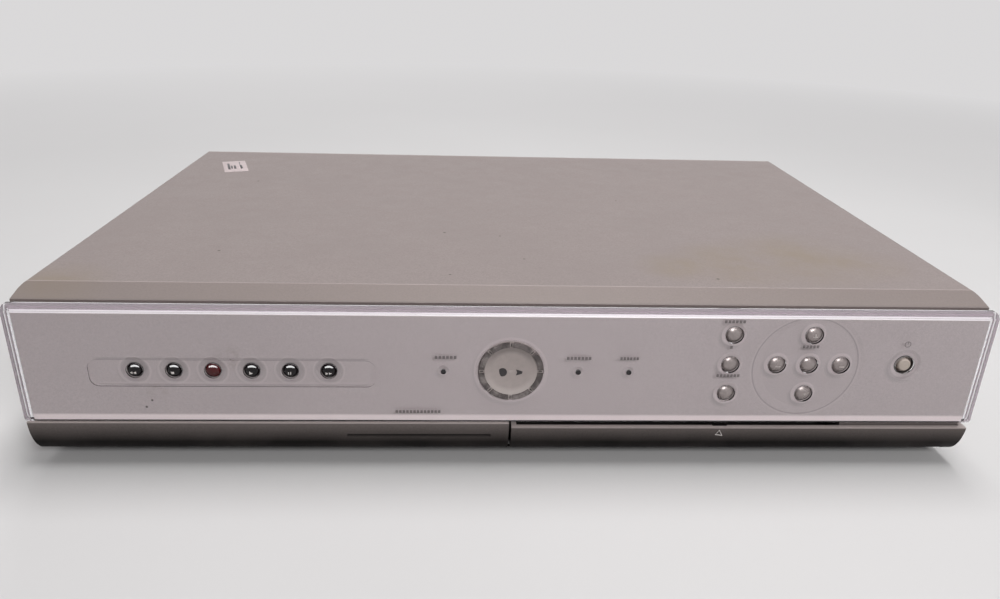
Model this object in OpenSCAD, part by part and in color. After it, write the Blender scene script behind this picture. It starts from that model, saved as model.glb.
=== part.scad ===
// Set-top satellite receiver with a hard disk, as separate pieces in their working places.
// Row frame: +Z up, the front faces -Y, the origin is at the middle of the box's footprint.
// The modules are written with y = 0 on the clear front face; place() moves them to the row frame.

/* [Overall size] */
// Width across the clear front panel
front_w = 362; // [350:1:380]
// Height of the clear front panel
panel_h = 46.5; // [45:0.1:60]
// Depth from the clear front face to the rear edge of the cover
body_d = 240.8; // [236:0.1:300]
// Height of the rubber feet below the base
foot_h = 4; // [3:0.1:12]
// Height of the curved strip below the clear panel
trim_h = 17.6; // [16.5:0.1:26]
// Rise of the cover's flat top above the clear panel
crown_h = 2.9; // [1.5:0.1:6]

/* [Sheet metal] */
// Thickness of the steel sheets
sheet = 1; // [0.6:0.1:1.4]
// How far the cover's sides lie inside the ends of the front
cover_inset = 0.8; // [0.4:0.1:2]
// Width of the dark groove between the clear panel and the cover
cover_groove = 2.4; // [1.5:0.1:4]
// Length of the slope at the front of the cover
slope_d = 11; // [6:0.5:25]
// Height of the folded lip along the cover's front edge
lip_h = 1.6; // [1.2:0.1:2.4]
// Radius of the cover's long top bends
bend_r = 1.6; // [1.2:0.1:3]
// Play between sheets that slide over each other
sheet_play = 0.2; // [0.1:0.05:0.3]
// Width of one ventilation slot in the cover's sides
vent_w = 2.4; // [1.5:0.1:4]
// Height of one ventilation slot
vent_h = 22; // [10:1:30]
// Distance between ventilation slots
vent_pitch = 6; // [5:0.5:12]
// Number of slots in each group
vent_n = 14; // [4:1:16]

/* [Clear panel] */
// Depth of the clear panel at its edges
lens_d = 3.6; // [3.2:0.1:5]
// Wall of the clear panel in front of the silver plate
lens_wall = 1.4; // [1:0.1:2]
// Chamfer along the top edge of the clear panel
lens_chamfer = 2; // [1:0.1:2.4]
// Corner radius of the clear panel
lens_r = 1.2; // [0.6:0.1:3]
// Clear border outside the silver plate at each end
lens_side = 0.9; // [0.6:0.1:2]
// Clear border above the silver plate
lens_top = 2.5; // [2:0.1:4]
// Play between the clear panel and the silver plate
plate_gap = 0.1; // [0.05:0.05:0.2]
// Width of the bevel at each end of the silver plate
bevel_side = 1.9; // [1:0.1:2.6]
// Width of the bevel along the top of the silver plate
bevel_top = 0.7; // [0.4:0.1:1.2]
// Height of the bright lip along the bottom of the silver plate
band_h = 2.2; // [1:0.1:3]
// How far the bright lip leans forward
band_kick = 0.7; // [0.2:0.1:0.9]

/* [Front moulding] */
// Depth of the front moulding from the clear face to the chassis
fascia_d = 16; // [15.6:0.1:24]
// Thickness of the front moulding's walls
fascia_wall = 2.2; // [1.8:0.1:3]
// Thickness of the moulding behind the silver face
face_wall = 2.7; // [2.2:0.1:3]

/* [Transport buttons] */
// Diameter of a transport button
transport_d = 5.5; // [5:0.1:6.5]
// How far the domes stand proud of the clear face
dome_proud = 0.3; // [0.1:0.1:1.4]
// Height of the curved part of a dome
dome_h = 1.8; // [1.2:0.1:2.4]
// Radial gap round every button
button_gap = 0.35; // [0.3:0.05:0.5]
// How far a button travels when it is pressed
travel = 0.8; // [0.5:0.1:0.9]
// Place of the first transport button, from the middle
transport_x = -138.4; // [-150:0.1:-134]
// Height of the transport buttons above the panel's bottom edge
transport_z = 20.75; // [18:0.05:26]
// Distance between transport buttons
transport_pitch = 14.09; // [13:0.01:15]
// Diameter of the dish round a transport button
transport_dish = 11.3; // [9.5:0.1:12.5]
// Length of the shallow channel behind the transport buttons
channel_w = 103.9; // [98:0.1:110]
// Height of the shallow channel
channel_h = 10.9; // [8:0.1:16]
// Depth of the shallow channel
channel_t = 0.3; // [0.1:0.05:0.5]

/* [Menu buttons] */
// Diameter of a menu button
dome_d = 6.2; // [5:0.1:7]
// Place of the column of three buttons
column_x = 82.2; // [76:0.1:86]
// Middle of the ring of five buttons
nav_x = 112.4; // [109:0.1:120]
// Height of the menu buttons' middle row above the panel's bottom edge
nav_z = 24.55; // [23:0.05:26]
// Distance between menu buttons
nav_pitch = 12.3; // [11:0.05:12.6]
// Diameter of the dish round a menu button
nav_dish = 9.5; // [8:0.1:10.5]
// Diameter of the shallow round well that holds the five buttons
nav_ring_d = 42.4; // [38:0.1:43]
// Width of the sloped edge of that well
nav_ring_w = 3.2; // [0.5:0.1:4]
// Depth of that well
nav_ring_t = 0.25; // [0.1:0.05:0.5]

/* [Standby button] */
// Place of the standby button
standby_x = 149.7; // [143:0.1:160]
// Diameter of its flat cap
standby_d = 4.8; // [4.5:0.1:6.5]
// Depth of the flat cap behind the clear face
standby_in = 0.9; // [0:0.1:1.2]
// Radial gap round the cap
standby_gap = 1.2; // [0.4:0.05:1.4]
// Diameter of the dish round it
standby_dish = 13; // [9:0.1:14]

/* [Lamps and display] */
// Height of the three lamps above the panel's bottom edge
lamp_z = 21.1; // [18:0.1:26]
// Places of the three lamps
lamp_x = [-25.6, 24.8, 43.9]; // [-50:0.1:60]
// Diameter of a lamp's light pipe
lamp_d = 1.9; // [1.2:0.1:3]
// Diameter of the dish round a lamp
lamp_dish = 4.3; // [3.5:0.1:6]
// Place of the display across the front
display_x = -0.45; // [-4:0.05:4]
// Height of the display above the panel's bottom edge
display_z = 21.25; // [18:0.05:24]
// Outer diameter of the segmented display ring
ring_d = 24; // [20:0.1:28]
// Radial width of the display ring
ring_w = 2; // [1:0.1:3]
// Number of segments in the display ring
ring_n = 8; // [4:1:12]
// Gap between two segments
ring_gap = 1.5; // [0.5:0.1:2.5]
// Width of the bevel round the display ring
halo_w = 1.1; // [0.5:0.1:1.3]

/* [Lower strip and flap] */
// Depth of the strip's curved section
strip_a = 11.5; // [10.5:0.1:12.5]
// How far the strip lies behind the clear face
strip_y = 0.5; // [0.3:0.1:1.5]
// How far the strip's ends lie inside the ends of the clear panel
strip_in = 0.1; // [0:0.1:1]
// Wall of the strip and the flap
strip_wall = 2; // [1.6:0.1:2.2]
// Gap between the clear panel and the strip
strip_gap = 1; // [0.6:0.1:1.4]
// Gap between the strip and the flap
split_gap = 1; // [0.8:0.1:1.6]
// Finger gap above the flap, from the strip's top edge
finger_gap = 1.9; // [1:0.1:3]
// Width of the recess behind the flap
recess_w = 131; // [110:1:140]
// Radius of the flap's hinge barrel
barrel_r = 2.1; // [1.9:0.05:2.2]
// Radius of the hinge pins
pin_r = 1; // [0.8:0.05:1.1]
// Radial play of the hinge pins in the flap
pin_play = 0.05; // [0.03:0.01:0.08]
// Width of a card slot
slot_w = 55.1; // [54.6:0.1:56]
// Height of a card slot
slot_h = 1.3; // [1:0.1:1.8]
// Middle of the slot in the strip
slot_x = -35; // [-40:0.1:-34]
// Depth of the card slots below the panel's bottom edge
slot_z = 7; // [6.5:0.1:8.5]
// Middle of the slot behind the flap
viewing_x = 57; // [50:0.5:60]

/* [Inner parts] */
// Thickness of the circuit boards
pcb = 1.6; // [1:0.1:2]
// Height of the boards above the base plate
post_h = 5; // [4:0.1:6]
// Width of the hard disk
disk_w = 101.6; // [100:0.1:102]
// Length of the hard disk
disk_l = 147; // [140:0.1:147]
// Thickness of the hard disk
disk_h = 26.1; // [20:0.1:27]
// Width of the square fan
fan_w = 60; // [56:0.5:61]
// Thickness of the fan
fan_t = 15; // [12:0.5:18]
// Number of fan blades
blade_n = 7; // [5:1:9]

/* [Rear sockets] */
// How far the aerial threads stand out of the rear panel
thread_l = 11; // [9:0.5:13]
// Radius of the aerial threads
thread_r = 4.76; // [4.7:0.01:4.8]
// Distance between the aerial sockets
rf_pitch = 17; // [14:0.5:18]
// Shares of the spare width in the gaps along the rear, from the left
rear_shares = [16, 4, 14, 14, 6, 5, 1, 10, 4, 12]; // [0:1:40]

/* [Hidden] */

$fn = 48;
eps = 0.01;

// Main levels and planes, with y = 0 on the clear face and z = 0 under the feet
z_base = foot_h;
z_floor = z_base + sheet;
z_panel = foot_h + trim_h;
z_lens = z_panel + panel_h;
z_top = z_lens + crown_h;
z_strip = z_panel - strip_gap;
y_cover = lens_d + cover_groove;
y_fold = y_cover + slope_d;
y_wall = fascia_d;
y_rear = body_d - sheet;
y_rear_in = y_rear - sheet;
cover_w = front_w - 2 * cover_inset;
in_w = cover_w / 2 - sheet - sheet_play;
y_shift = (dome_proud - body_d - thread_l + sheet) / 2;

// Silver plate behind the clear panel
y_plate = lens_wall + plate_gap;
y_face_in = y_plate + face_wall;
plate_out = front_w / 2 - lens_side - plate_gap;
plate_top = z_lens - lens_top;
skirt_w = in_w - sheet_play;
skirt_top = z_lens - lip_h - 0.3;

// Front circuit board and its switches
pip_h = 0.7;
switch_h = 3;
switch_w = 6;
stop_gap = 0.3;
flange_t = 0.8;
stem_l = 0.7;
flange_over = 1;
y_flange = y_face_in + stop_gap;
y_stem = y_flange + flange_t + stem_l;
y_pip = y_stem + travel + stop_gap;
y_board = y_pip + pip_h + switch_h;
boss_d = 6;
board_edge = 0.8;
board_w = 2 * (skirt_w - fascia_wall - board_edge);
board_z0 = z_panel + fascia_wall + board_edge;
board_z1 = skirt_top - fascia_wall - board_edge;

// Display ring's front, behind the clear face, the step down to its disc, and its segments
ring_front = 0.4;
ring_step = 0.3;
segment_t = 0.6;

// Buttons: place of each one on the clear face
transport = [for (i = [0:5]) [transport_x + i * transport_pitch, z_panel + transport_z]];
column = [for (i = [1, 0, -1]) [column_x, z_panel + nav_z + i * nav_pitch]];
nav_up = [nav_x, z_panel + nav_z + nav_pitch];
nav_left = [nav_x - nav_pitch, z_panel + nav_z];
nav_mid = [nav_x, z_panel + nav_z];
nav_right = [nav_x + nav_pitch, z_panel + nav_z];
nav_down = [nav_x, z_panel + nav_z - nav_pitch];
nav = [nav_up, nav_left, nav_mid, nav_right, nav_down];
standby = [standby_x, z_panel + nav_z];
button_sites = concat(transport, column, nav, [standby]);
channel_dx = 0.5;
channel_dz = 0.65;
channel_r = 3.4;
display = [display_x, z_panel + display_z];
boss_sites = [for (x = [-board_w / 2 + 6, -60, 61, board_w / 2 - 6]) [x, board_z1 - 5]];
boss_low = [for (x = [-board_w / 2 + 6, board_w / 2 - 6]) [x, board_z0 + 5]];

// Curved strip, flap and hinge
strip_b = z_strip - z_base;
strip_c = strip_y + strip_a;
strip_end = front_w / 2 - strip_in;
flap_x0 = split_gap / 2;
flap_top = z_strip - finger_gap;
barrel_t = 65;
barrel_gap = 0.5;
hinge_n = [cos(barrel_t) / strip_a, sin(barrel_t) / strip_b];
hinge_y = strip_c - strip_a * cos(barrel_t) + barrel_r * hinge_n[0] / norm(hinge_n);
hinge_z = z_strip - strip_b * sin(barrel_t) + barrel_r * hinge_n[1] / norm(hinge_n);
ear_w = 5.6;
ear_x = strip_end - 10;
ear_gap = 0.5;
pin_in = 6;
cap_back = strip_c;
catch_x = column_x;
catch_w = 5.6;
recess_x0 = -flap_x0;
recess_x1 = recess_x0 + recess_w;
recess_y1 = y_wall - strip_wall;
z_slot = z_panel - slot_z;

// Widths of the rear sockets, and their places: they share the spare width between them
tuner_w = 22;
rf_edge = 9;
scart_block = 54;
scart_plate = 58;
phono_block = 16;
video_block = 15;
serial_block = 28;
mains_block = 42;
rear_widths = [tuner_w, tuner_w, 2 * (rf_pitch + rf_edge), scart_plate, phono_block, video_block,
    serial_block, fan_w, mains_block];
rear_spare = 2 * in_w - sum(rear_widths, 9);
function sum(v, n) = n <= 0 ? 0 : v[n - 1] + sum(v, n - 1);
rear_x = [for (i = [0:8]) -in_w + rear_spare * sum(rear_shares, i + 1) / sum(rear_shares, 10)
    + sum(rear_widths, i) + rear_widths[i] / 2];
lnb_x = [rear_x[0], rear_x[1]];
rf_x = [rear_x[2] - rf_pitch, rear_x[2], rear_x[2] + rf_pitch];
scart_x = rear_x[3];
fan_x = rear_x[7];
mains_x = rear_x[8];

// Card readers, boards and the hard disk
reader_w = slot_w + 5;
reader_l = 54;
reader_h = 6;
reader_in = 10;
z_reader = z_slot - reader_h / 2;
edge_gap = 7;
leg_gap = 2;
bracket_t = 1.2;
z_pcb = z_floor + post_h;
z_parts = z_pcb + pcb;
panel_half = in_w;
board_back = y_rear_in - edge_gap;
main_x1 = rear_x[6] + serial_block / 2 + 1;
main_x0 = -in_w + edge_gap;
disk_x0 = -in_w + edge_gap;
disk_x1 = disk_x0 + disk_w;
disk_y0 = y_wall + 18;
disk_y1 = disk_y0 + disk_l;
disk_z = z_reader + reader_h + 0.6 + bracket_t;
leg_y = y_wall - reader_in + reader_l + leg_gap;
main_front = y_wall + 72;
main_step = disk_x1 + 10;
main_rear = max(disk_y1 + 9, board_back - 42);
ribbon_x = [main_x1 - 47, main_x1 - 19];
can_front = main_rear + 11;
rf_front = can_front + 4;
power_x0 = main_x1 + 9;
power_x1 = in_w - edge_gap;
power_y0 = y_wall + reader_l + 4;
power_y1 = y_rear_in - fan_t - 18;
screw_r = 1.5;
hole_r = 1.6;
head_r = 3;
head_h = 1.6;
cut = 0.3;

// Moves a module's geometry from the clear face to the row frame
module place() {
    translate([0, y_shift, 0])
    children();
}

// Rounded rectangle about the origin
module rrect(w, h, r) {
    square([w - 2 * r, h], center = true);
    square([w, h - 2 * r], center = true);
    for (sx = [-1, 1], sy = [-1, 1])
        translate([sx * (w / 2 - r), sy * (h / 2 - r)])
        circle(r);
}

// Prism along Y between two planes, from an outline in X and Z
module y_prism(y0, y1) {
    translate([0, y1, 0])
    rotate([90, 0, 0])
    linear_extrude(y1 - y0)
    children();
}

// Prism along X between two planes, from an outline in Y and Z
module x_prism(x0, x1) {
    translate([x0, 0, 0])
    rotate([90, 0, 90])
    linear_extrude(x1 - x0)
    children();
}

// Rod along Y at a place on the front or the rear
module y_rod(site, y0, y1, r) {
    translate([site[0], y1, site[1]])
    rotate([90, 0, 0])
    cylinder(h = y1 - y0, r = r);
}

// Rod along X through a point in Y and Z
module x_rod(x0, x1, y, z, r) {
    translate([x0, y, z])
    rotate([0, 90, 0])
    cylinder(h = x1 - x0, r = r);
}

// Block between two corners
module block(a, b) {
    translate(a)
    cube([b[0] - a[0], b[1] - a[1], b[2] - a[2]]);
}

// Round concave dish of a given width and depth, cut into a face at y
module dish(site, y, d, depth) {
    r = (d * d / 4 + depth * depth) / (2 * depth);
    translate([site[0], y + depth - r, site[1]])
    sphere(r, $fn = 96);
}

// Everything that is cut into the clear panel and the silver face, starting at a face at y
module face_cuts(y, y_end) {
    y_prism(y - eps, y + channel_t)
    translate([transport_x + 2.5 * transport_pitch + channel_dx, z_panel + transport_z - channel_dz])
    rrect(channel_w, channel_h, channel_r);
    for (s = transport) {
        dish(s, y, transport_dish, 1.2);
        y_rod(s, y - 1, y_end, transport_d / 2 + button_gap);
    }
    for (s = concat(column, nav)) {
        dish(s, y, nav_dish, 1);
        y_rod(s, y - 1, y_end, dome_d / 2 + button_gap);
    }
    dish(standby, y, standby_dish, 1.1);
    y_rod(standby, y - 1, y_end, standby_d / 2 + standby_gap);
    for (x = lamp_x) {
        dish([x, z_panel + lamp_z], y, lamp_dish, 0.5);
        y_rod([x, z_panel + lamp_z], y - 1, y_end, lamp_d / 2 + 0.05);
    }
}

// Bevelled slab of the silver plate, grown by c to cut its seat in the clear panel
module plate(c) {
    yf = y_plate - c;
    x1 = plate_out + c;
    z0 = z_panel + 0.35 - c;
    z1 = plate_top + c;
    y_kick = yf - band_kick;
    x_kick = x1 - bevel_side * (lens_d - y_kick) / (lens_d - yf);
    intersection() {
        translate([0, 0, z_panel - 1])
        linear_extrude(panel_h + 2)
        polygon([[-x1, y_face_in], [-x1, lens_d], [-x_kick, y_kick], [x_kick, y_kick],
            [x1, lens_d], [x1, y_face_in]]);
        x_prism(-front_w / 2, front_w / 2)
        polygon([[y_face_in, z0], [y_kick, z0], [yf, z0 + band_h], [yf, z1 - bevel_top],
            [yf + bevel_top, z1], [y_face_in, z1]]);
    }
}

// Clear acrylic panel over the whole front
module front_lens() {
    color([0.86, 0.87, 0.93, 0.5])
    place()
    difference() {
        intersection() {
            y_prism(0, lens_d)
            translate([0, z_panel + panel_h / 2])
            rrect(front_w, panel_h, lens_r);
            x_prism(-front_w / 2, front_w / 2)
            polygon([[0, z_panel], [0, z_lens - lens_chamfer], [lens_chamfer, z_lens],
                [lens_d, z_lens], [lens_d, z_panel]]);
        }
        plate(plate_gap);
        face_cuts(0, lens_d + 1);
        y_rod(display, -1, lens_d + 1, ring_d / 2 + 0.3);
        translate([display[0], -eps, display[1]])
        rotate([-90, 0, 0])
        cylinder(h = halo_w, r1 = ring_d / 2 + 0.3 + halo_w, r2 = ring_d / 2 + 0.3);
    }
}

// Silver front moulding: bevelled face, rim, skirt and bosses for the front board
module front_fascia() {
    color("silver")
    place()
    difference() {
        union() {
            plate(0);
            y_prism(lens_d, lens_d + 1.2)
            translate([0, z_panel + (panel_h - 1) / 2])
            rrect(front_w - 0.8, panel_h - 1, lens_r);
            difference() {
                y_prism(lens_d, fascia_d)
                translate([0, (z_panel + skirt_top) / 2])
                rrect(2 * skirt_w, skirt_top - z_panel, lens_r);
                y_prism(y_face_in, fascia_d + 1)
                translate([0, (z_panel + skirt_top) / 2])
                square([2 * (skirt_w - fascia_wall), skirt_top - z_panel - 2 * fascia_wall],
                    center = true);
            }
            for (s = concat(boss_sites, boss_low))
                y_rod(s, y_face_in - eps, y_board, boss_d / 2);
        }
        y_prism(y_face_in, lens_d + 2)
        translate([0, (z_panel + skirt_top) / 2])
        difference() {
            square([2 * (skirt_w - fascia_wall), skirt_top - z_panel - 2 * fascia_wall],
                center = true);
            for (s = concat(boss_sites, boss_low))
                translate([s[0], s[1] - (z_panel + skirt_top) / 2])
                circle(boss_d / 2);
        }
        face_cuts(y_plate, y_face_in + 1);
        translate([nav_mid[0], y_plate - eps, nav_mid[1]])
        rotate([-90, 0, 0])
        cylinder(h = nav_ring_t + eps, r1 = nav_ring_d / 2, r2 = nav_ring_d / 2 - nav_ring_w, $fn = 120);
        y_rod(display, 0, y_face_in - 1, ring_d / 2 + 0.3);
        y_rod(display, 0, y_face_in + 1, ring_d / 2 - 4);
        for (s = concat(boss_sites, boss_low))
            y_rod(s, y_board - 5, y_board + 1, screw_r - 0.25);
    }
}

// Dome button: cap, retaining flange and stem
module dome_button(site, d) {
    r = d / 2;
    big = (r * r + dome_h * dome_h) / (2 * dome_h);
    place()
    translate([site[0], 0, site[1]])
    rotate([90, 0, 0])
    rotate_extrude() {
        intersection() {
            translate([0, dome_proud - dome_h])
            square([r, dome_h]);
            translate([0, dome_proud - big])
            circle(big, $fn = 96);
        }
        translate([0, -y_flange])
        square([r, y_flange + dome_proud - dome_h]);
        translate([0, -y_flange - flange_t])
        square([r + flange_over, flange_t]);
        translate([0, -y_stem])
        square([r / 2, stem_l]);
    }
}

module button_rewind() {
    color([0.08, 0.07, 0.07])
    dome_button(transport[0], transport_d);
}

module button_stop() {
    color([0.08, 0.07, 0.07])
    dome_button(transport[1], transport_d);
}

module button_record() {
    color([0.35, 0.05, 0.06])
    dome_button(transport[2], transport_d);
}

module button_play() {
    color([0.08, 0.07, 0.07])
    dome_button(transport[3], transport_d);
}

module button_pause() {
    color([0.08, 0.07, 0.07])
    dome_button(transport[4], transport_d);
}

module button_forward() {
    color([0.08, 0.07, 0.07])
    dome_button(transport[5], transport_d);
}

module button_back() {
    color([0.72, 0.71, 0.73])
    dome_button(column[0], dome_d);
}

module button_info() {
    color([0.72, 0.71, 0.73])
    dome_button(column[1], dome_d);
}

module button_guide() {
    color([0.72, 0.71, 0.73])
    dome_button(column[2], dome_d);
}

module button_up() {
    color([0.72, 0.71, 0.73])
    dome_button(nav_up, dome_d);
}

module button_left() {
    color([0.72, 0.71, 0.73])
    dome_button(nav_left, dome_d);
}

module button_select() {
    color([0.72, 0.71, 0.73])
    dome_button(nav_mid, dome_d);
}

module button_right() {
    color([0.72, 0.71, 0.73])
    dome_button(nav_right, dome_d);
}

module button_down() {
    color([0.72, 0.71, 0.73])
    dome_button(nav_down, dome_d);
}

// Standby button: flat cap with a turned edge
module button_standby() {
    r = standby_d / 2;
    edge = 0.4;
    color([0.85, 0.82, 0.76])
    place() {
        translate([standby[0], standby_in, standby[1]])
        rotate([-90, 0, 0])
        cylinder(h = edge, r1 = r - edge, r2 = r);
        y_rod(standby, standby_in + edge - eps, y_flange + eps, r);
        y_rod(standby, y_flange, y_flange + flange_t, r + flange_over + standby_gap);
        y_rod(standby, y_flange + flange_t - eps, y_stem, r / 2);
    }
}

// Segments of the display, inlaid on the rim of its disc
module display_ring() {
    color([0.55, 0.53, 0.55])
    place()
    difference() {
        y_rod(display, ring_front, ring_front + segment_t, ring_d / 2);
        y_rod(display, 0, y_face_in, ring_d / 2 - ring_w);
        for (i = [0:ring_n - 1])
            translate([display[0], y_face_in / 2, display[1]])
            rotate([0, i * 360 / ring_n, 0])
            translate([0, 0, ring_d / 2])
            cube([ring_gap, y_face_in + 2, ring_w * 4], center = true);
    }
}

// Dished disc of the display, with a rim under its segments
module display_lens() {
    r = ring_d / 2 - ring_w - 0.1;
    hollow = 0.9;
    big = (r * r + hollow * hollow) / (2 * hollow);
    back = y_face_in - 1 - ring_front;
    thick = back - ring_step;
    color([0.78, 0.77, 0.79])
    place()
    translate([display[0], y_face_in - 1, display[1]])
    rotate([90, 0, 0])
    rotate_extrude($fn = 96)
    difference() {
        union() {
            square([r, thick]);
            square([ring_d / 2, back - segment_t]);
        }
        translate([0, thick - hollow + big])
        circle(big, $fn = 720);
    }
}

// Light pipes of the three lamps
module light_pipes() {
    color([0.05, 0.04, 0.05])
    place()
    for (x = lamp_x)
        y_rod([x, z_panel + lamp_z], 0.7, y_board - 1, lamp_d / 2);
}

// Front circuit board with the three lamps
module front_board() {
    color("seagreen")
    place() {
        difference() {
            block([-board_w / 2, y_board, board_z0], [board_w / 2, y_board + pcb, board_z1]);
            for (s = concat(boss_sites, boss_low))
                y_rod(s, y_board - 1, y_board + pcb + 1, hole_r);
        }
        for (x = lamp_x)
            block([x - 1.5, y_board - 1, z_panel + lamp_z - 1],
                [x + 1.5, y_board + eps, z_panel + lamp_z + 1]);
    }
}

// Tact switches behind the buttons
module tact_switches() {
    half = switch_w / 2;
    color([0.15, 0.15, 0.16])
    place()
    for (s = button_sites) {
        block([s[0] - half, y_board - switch_h, s[1] - half], [s[0] + half, y_board, s[1] + half]);
        y_rod(s, y_pip, y_board - switch_h + eps, 1.7);
    }
}

// Outline of the curved strip in Y and Z, drawn in by c, between two angles
function strip_arc(c, t0, t1, n = 20) = [for (i = [0:n]) let (t = t0 + (t1 - t0) * i / n)
    [strip_c - (strip_a - c) * cos(t), z_strip - (strip_b - c) * sin(t)]];

// Solid inside the strip's curve, drawn in by c
module strip_solid(x0, x1, c) {
    x_prism(x0, x1)
    polygon(concat(strip_arc(c, 0, 90), [[y_wall + c, z_base + c], [y_wall + c, z_strip]]));
}

// Fixed strip at the left, with the tub behind the flap at the right
module lower_trim() {
    inner = strip_wall;
    tub_top = z_panel;
    right_x = strip_end - strip_wall - ear_gap;
    color([0.62, 0.62, 0.62])
    place() {
        difference() {
            union() {
                strip_solid(-strip_end, recess_x0, 0);
                block([-strip_end + 8, strip_y + 4, z_strip - 1], [recess_x0, y_wall, z_panel]);
                intersection() {
                    strip_solid(recess_x0 - 1, right_x, inner + 0.6);
                    block([recess_x0 - 1, 0, z_base], [right_x, y_wall, z_strip]);
                }
                intersection() {
                    strip_solid(recess_x0 - 1, right_x, 0);
                    block([recess_x0 - 1, hinge_y + 1, z_base], [right_x, y_wall, z_strip]);
                }
                block([recess_x0 - 1, strip_y + 3, z_strip - 1], [right_x, y_wall, tub_top]);
                block([right_x - 1, cap_back + ear_gap, z_base], [strip_end, y_wall, z_strip]);
            }
            intersection() {
                strip_solid(-strip_end + inner, recess_x0 - inner, inner);
                block([-strip_end, 0, z_base], [0, y_wall + 5, z_strip - inner]);
            }
            block([recess_x0, -1, z_floor + 1], [recess_x1, recess_y1, z_panel - 1.6]);
            block([recess_x1 + inner, strip_y + inner + 3, z_floor + 1],
                [right_x - 10, y_wall + 1, z_strip - 1.6]);
            x_rod(recess_x0, ear_x - eps, hinge_y, hinge_z, barrel_r + barrel_gap);
            x_rod(ear_x + ear_w, strip_end + 1, hinge_y, hinge_z, barrel_r + barrel_gap);
            block([recess_x0, -1, z_base - 1], [ear_x, hinge_y + 1, hinge_z]);
            block([ear_x + ear_w, -1, z_base - 1], [strip_end + 1, hinge_y + 1, hinge_z]);
            block([ear_x - 1, -1, z_base - 1], [ear_x + ear_w + 1, hinge_y - barrel_r, hinge_z + 8]);
            block([slot_x - slot_w / 2, -1, z_slot - slot_h / 2],
                [slot_x + slot_w / 2, strip_c, z_slot + slot_h / 2]);
            block([viewing_x - slot_w / 2, 5, z_slot - slot_h / 2],
                [viewing_x + slot_w / 2, y_wall + 1, z_slot + slot_h / 2]);
            x_rod(recess_x0 - pin_in, recess_x0 + 1, hinge_y, hinge_z, pin_r);
            x_rod(ear_x - 1, ear_x + ear_w + 1, hinge_y, hinge_z, pin_r);
        }
        difference() {
            union() {
                x_rod(recess_x0 - pin_in - 1, recess_x0 - inner + eps, hinge_y, hinge_z, barrel_r);
                x_rod(ear_x, ear_x + ear_w, hinge_y, hinge_z, barrel_r - 0.1);
                block([ear_x, hinge_y, hinge_z - barrel_r + 0.1],
                    [ear_x + ear_w, hinge_y + barrel_r + 1.5, hinge_z + barrel_r - 0.1]);
            }
            x_rod(recess_x0 - pin_in, recess_x0 + 1, hinge_y, hinge_z, pin_r);
            x_rod(ear_x - 1, ear_x + ear_w + 1, hinge_y, hinge_z, pin_r);
        }
    }
}

// Hinged flap over the card recess
module card_flap() {
    inner = strip_wall;
    notch0 = ear_x - ear_gap;
    notch1 = ear_x + ear_w + ear_gap;
    color([0.62, 0.62, 0.62])
    place()
    difference() {
        union() {
            x_prism(flap_x0, strip_end)
            polygon(concat(
                [for (p = strip_arc(0, 0, barrel_t)) [p[0], min(p[1], flap_top)]],
                [for (p = strip_arc(inner, barrel_t, 0)) [p[0], min(p[1], flap_top)]]));
            x_rod(flap_x0, strip_end, hinge_y, hinge_z, barrel_r);
            for (x = [flap_x0, strip_end - inner])
                x_prism(x, x + inner)
                polygon(concat(
                    [for (p = strip_arc(0, 0, barrel_t)) [p[0], min(p[1], flap_top)]],
                    [[hinge_y, hinge_z - 1], [x > 1 ? cap_back : hinge_y, hinge_z],
                     [x > 1 ? cap_back : hinge_y - 3, flap_top]]));
            block([catch_x - catch_w / 2, strip_y + strip_wall - 0.6, flap_top - 4],
                [catch_x + catch_w / 2, strip_y + strip_wall + 1, flap_top + 0.6]);
        }
        x_rod(notch0, notch1, hinge_y, hinge_z, barrel_r + barrel_gap);
        block([notch0, 0, z_base - 1], [notch1, strip_c, hinge_z]);
        x_rod(flap_x0 - 1, flap_x0 + pin_in, hinge_y, hinge_z, pin_r + pin_play);
        x_rod(notch1 - 1, strip_end - 1, hinge_y, hinge_z, pin_r + pin_play);
    }
}

// Steel pins that the flap turns on
module flap_pins() {
    color("gray")
    place() {
        x_rod(recess_x0 - pin_in, flap_x0 + pin_in - 0.5, hinge_y, hinge_z, pin_r);
        x_rod(ear_x, strip_end - 1.5, hinge_y, hinge_z, pin_r);
    }
}

// Places of the cover's screws: height and depth on each side, and along the rear lip
side_screws = [for (f = [0.2, 0.8]) y_wall + f * (y_rear - y_wall)];
side_screw_z = z_base + 8;
notch_gap = 0.3;
rear_lip = 7;
rear_screw_z = z_top - rear_lip / 2 - sheet / 2;
rear_screw_x = [for (f = [-0.9, -0.1, 0.9]) f * in_w];

// Rows of ventilation slots through both sides of the cover
module vent_slots() {
    for (g = [0.3, 0.72], i = [0:vent_n - 1])
        translate([0, y_wall + g * (y_rear - y_wall) + (i - (vent_n - 1) / 2) * vent_pitch,
            (z_base + z_top) / 2])
        rotate([90, 0, 90])
        linear_extrude(cover_w + 2, center = true)
        rrect(vent_w, vent_h, vent_w / 2 - eps);
}

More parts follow.
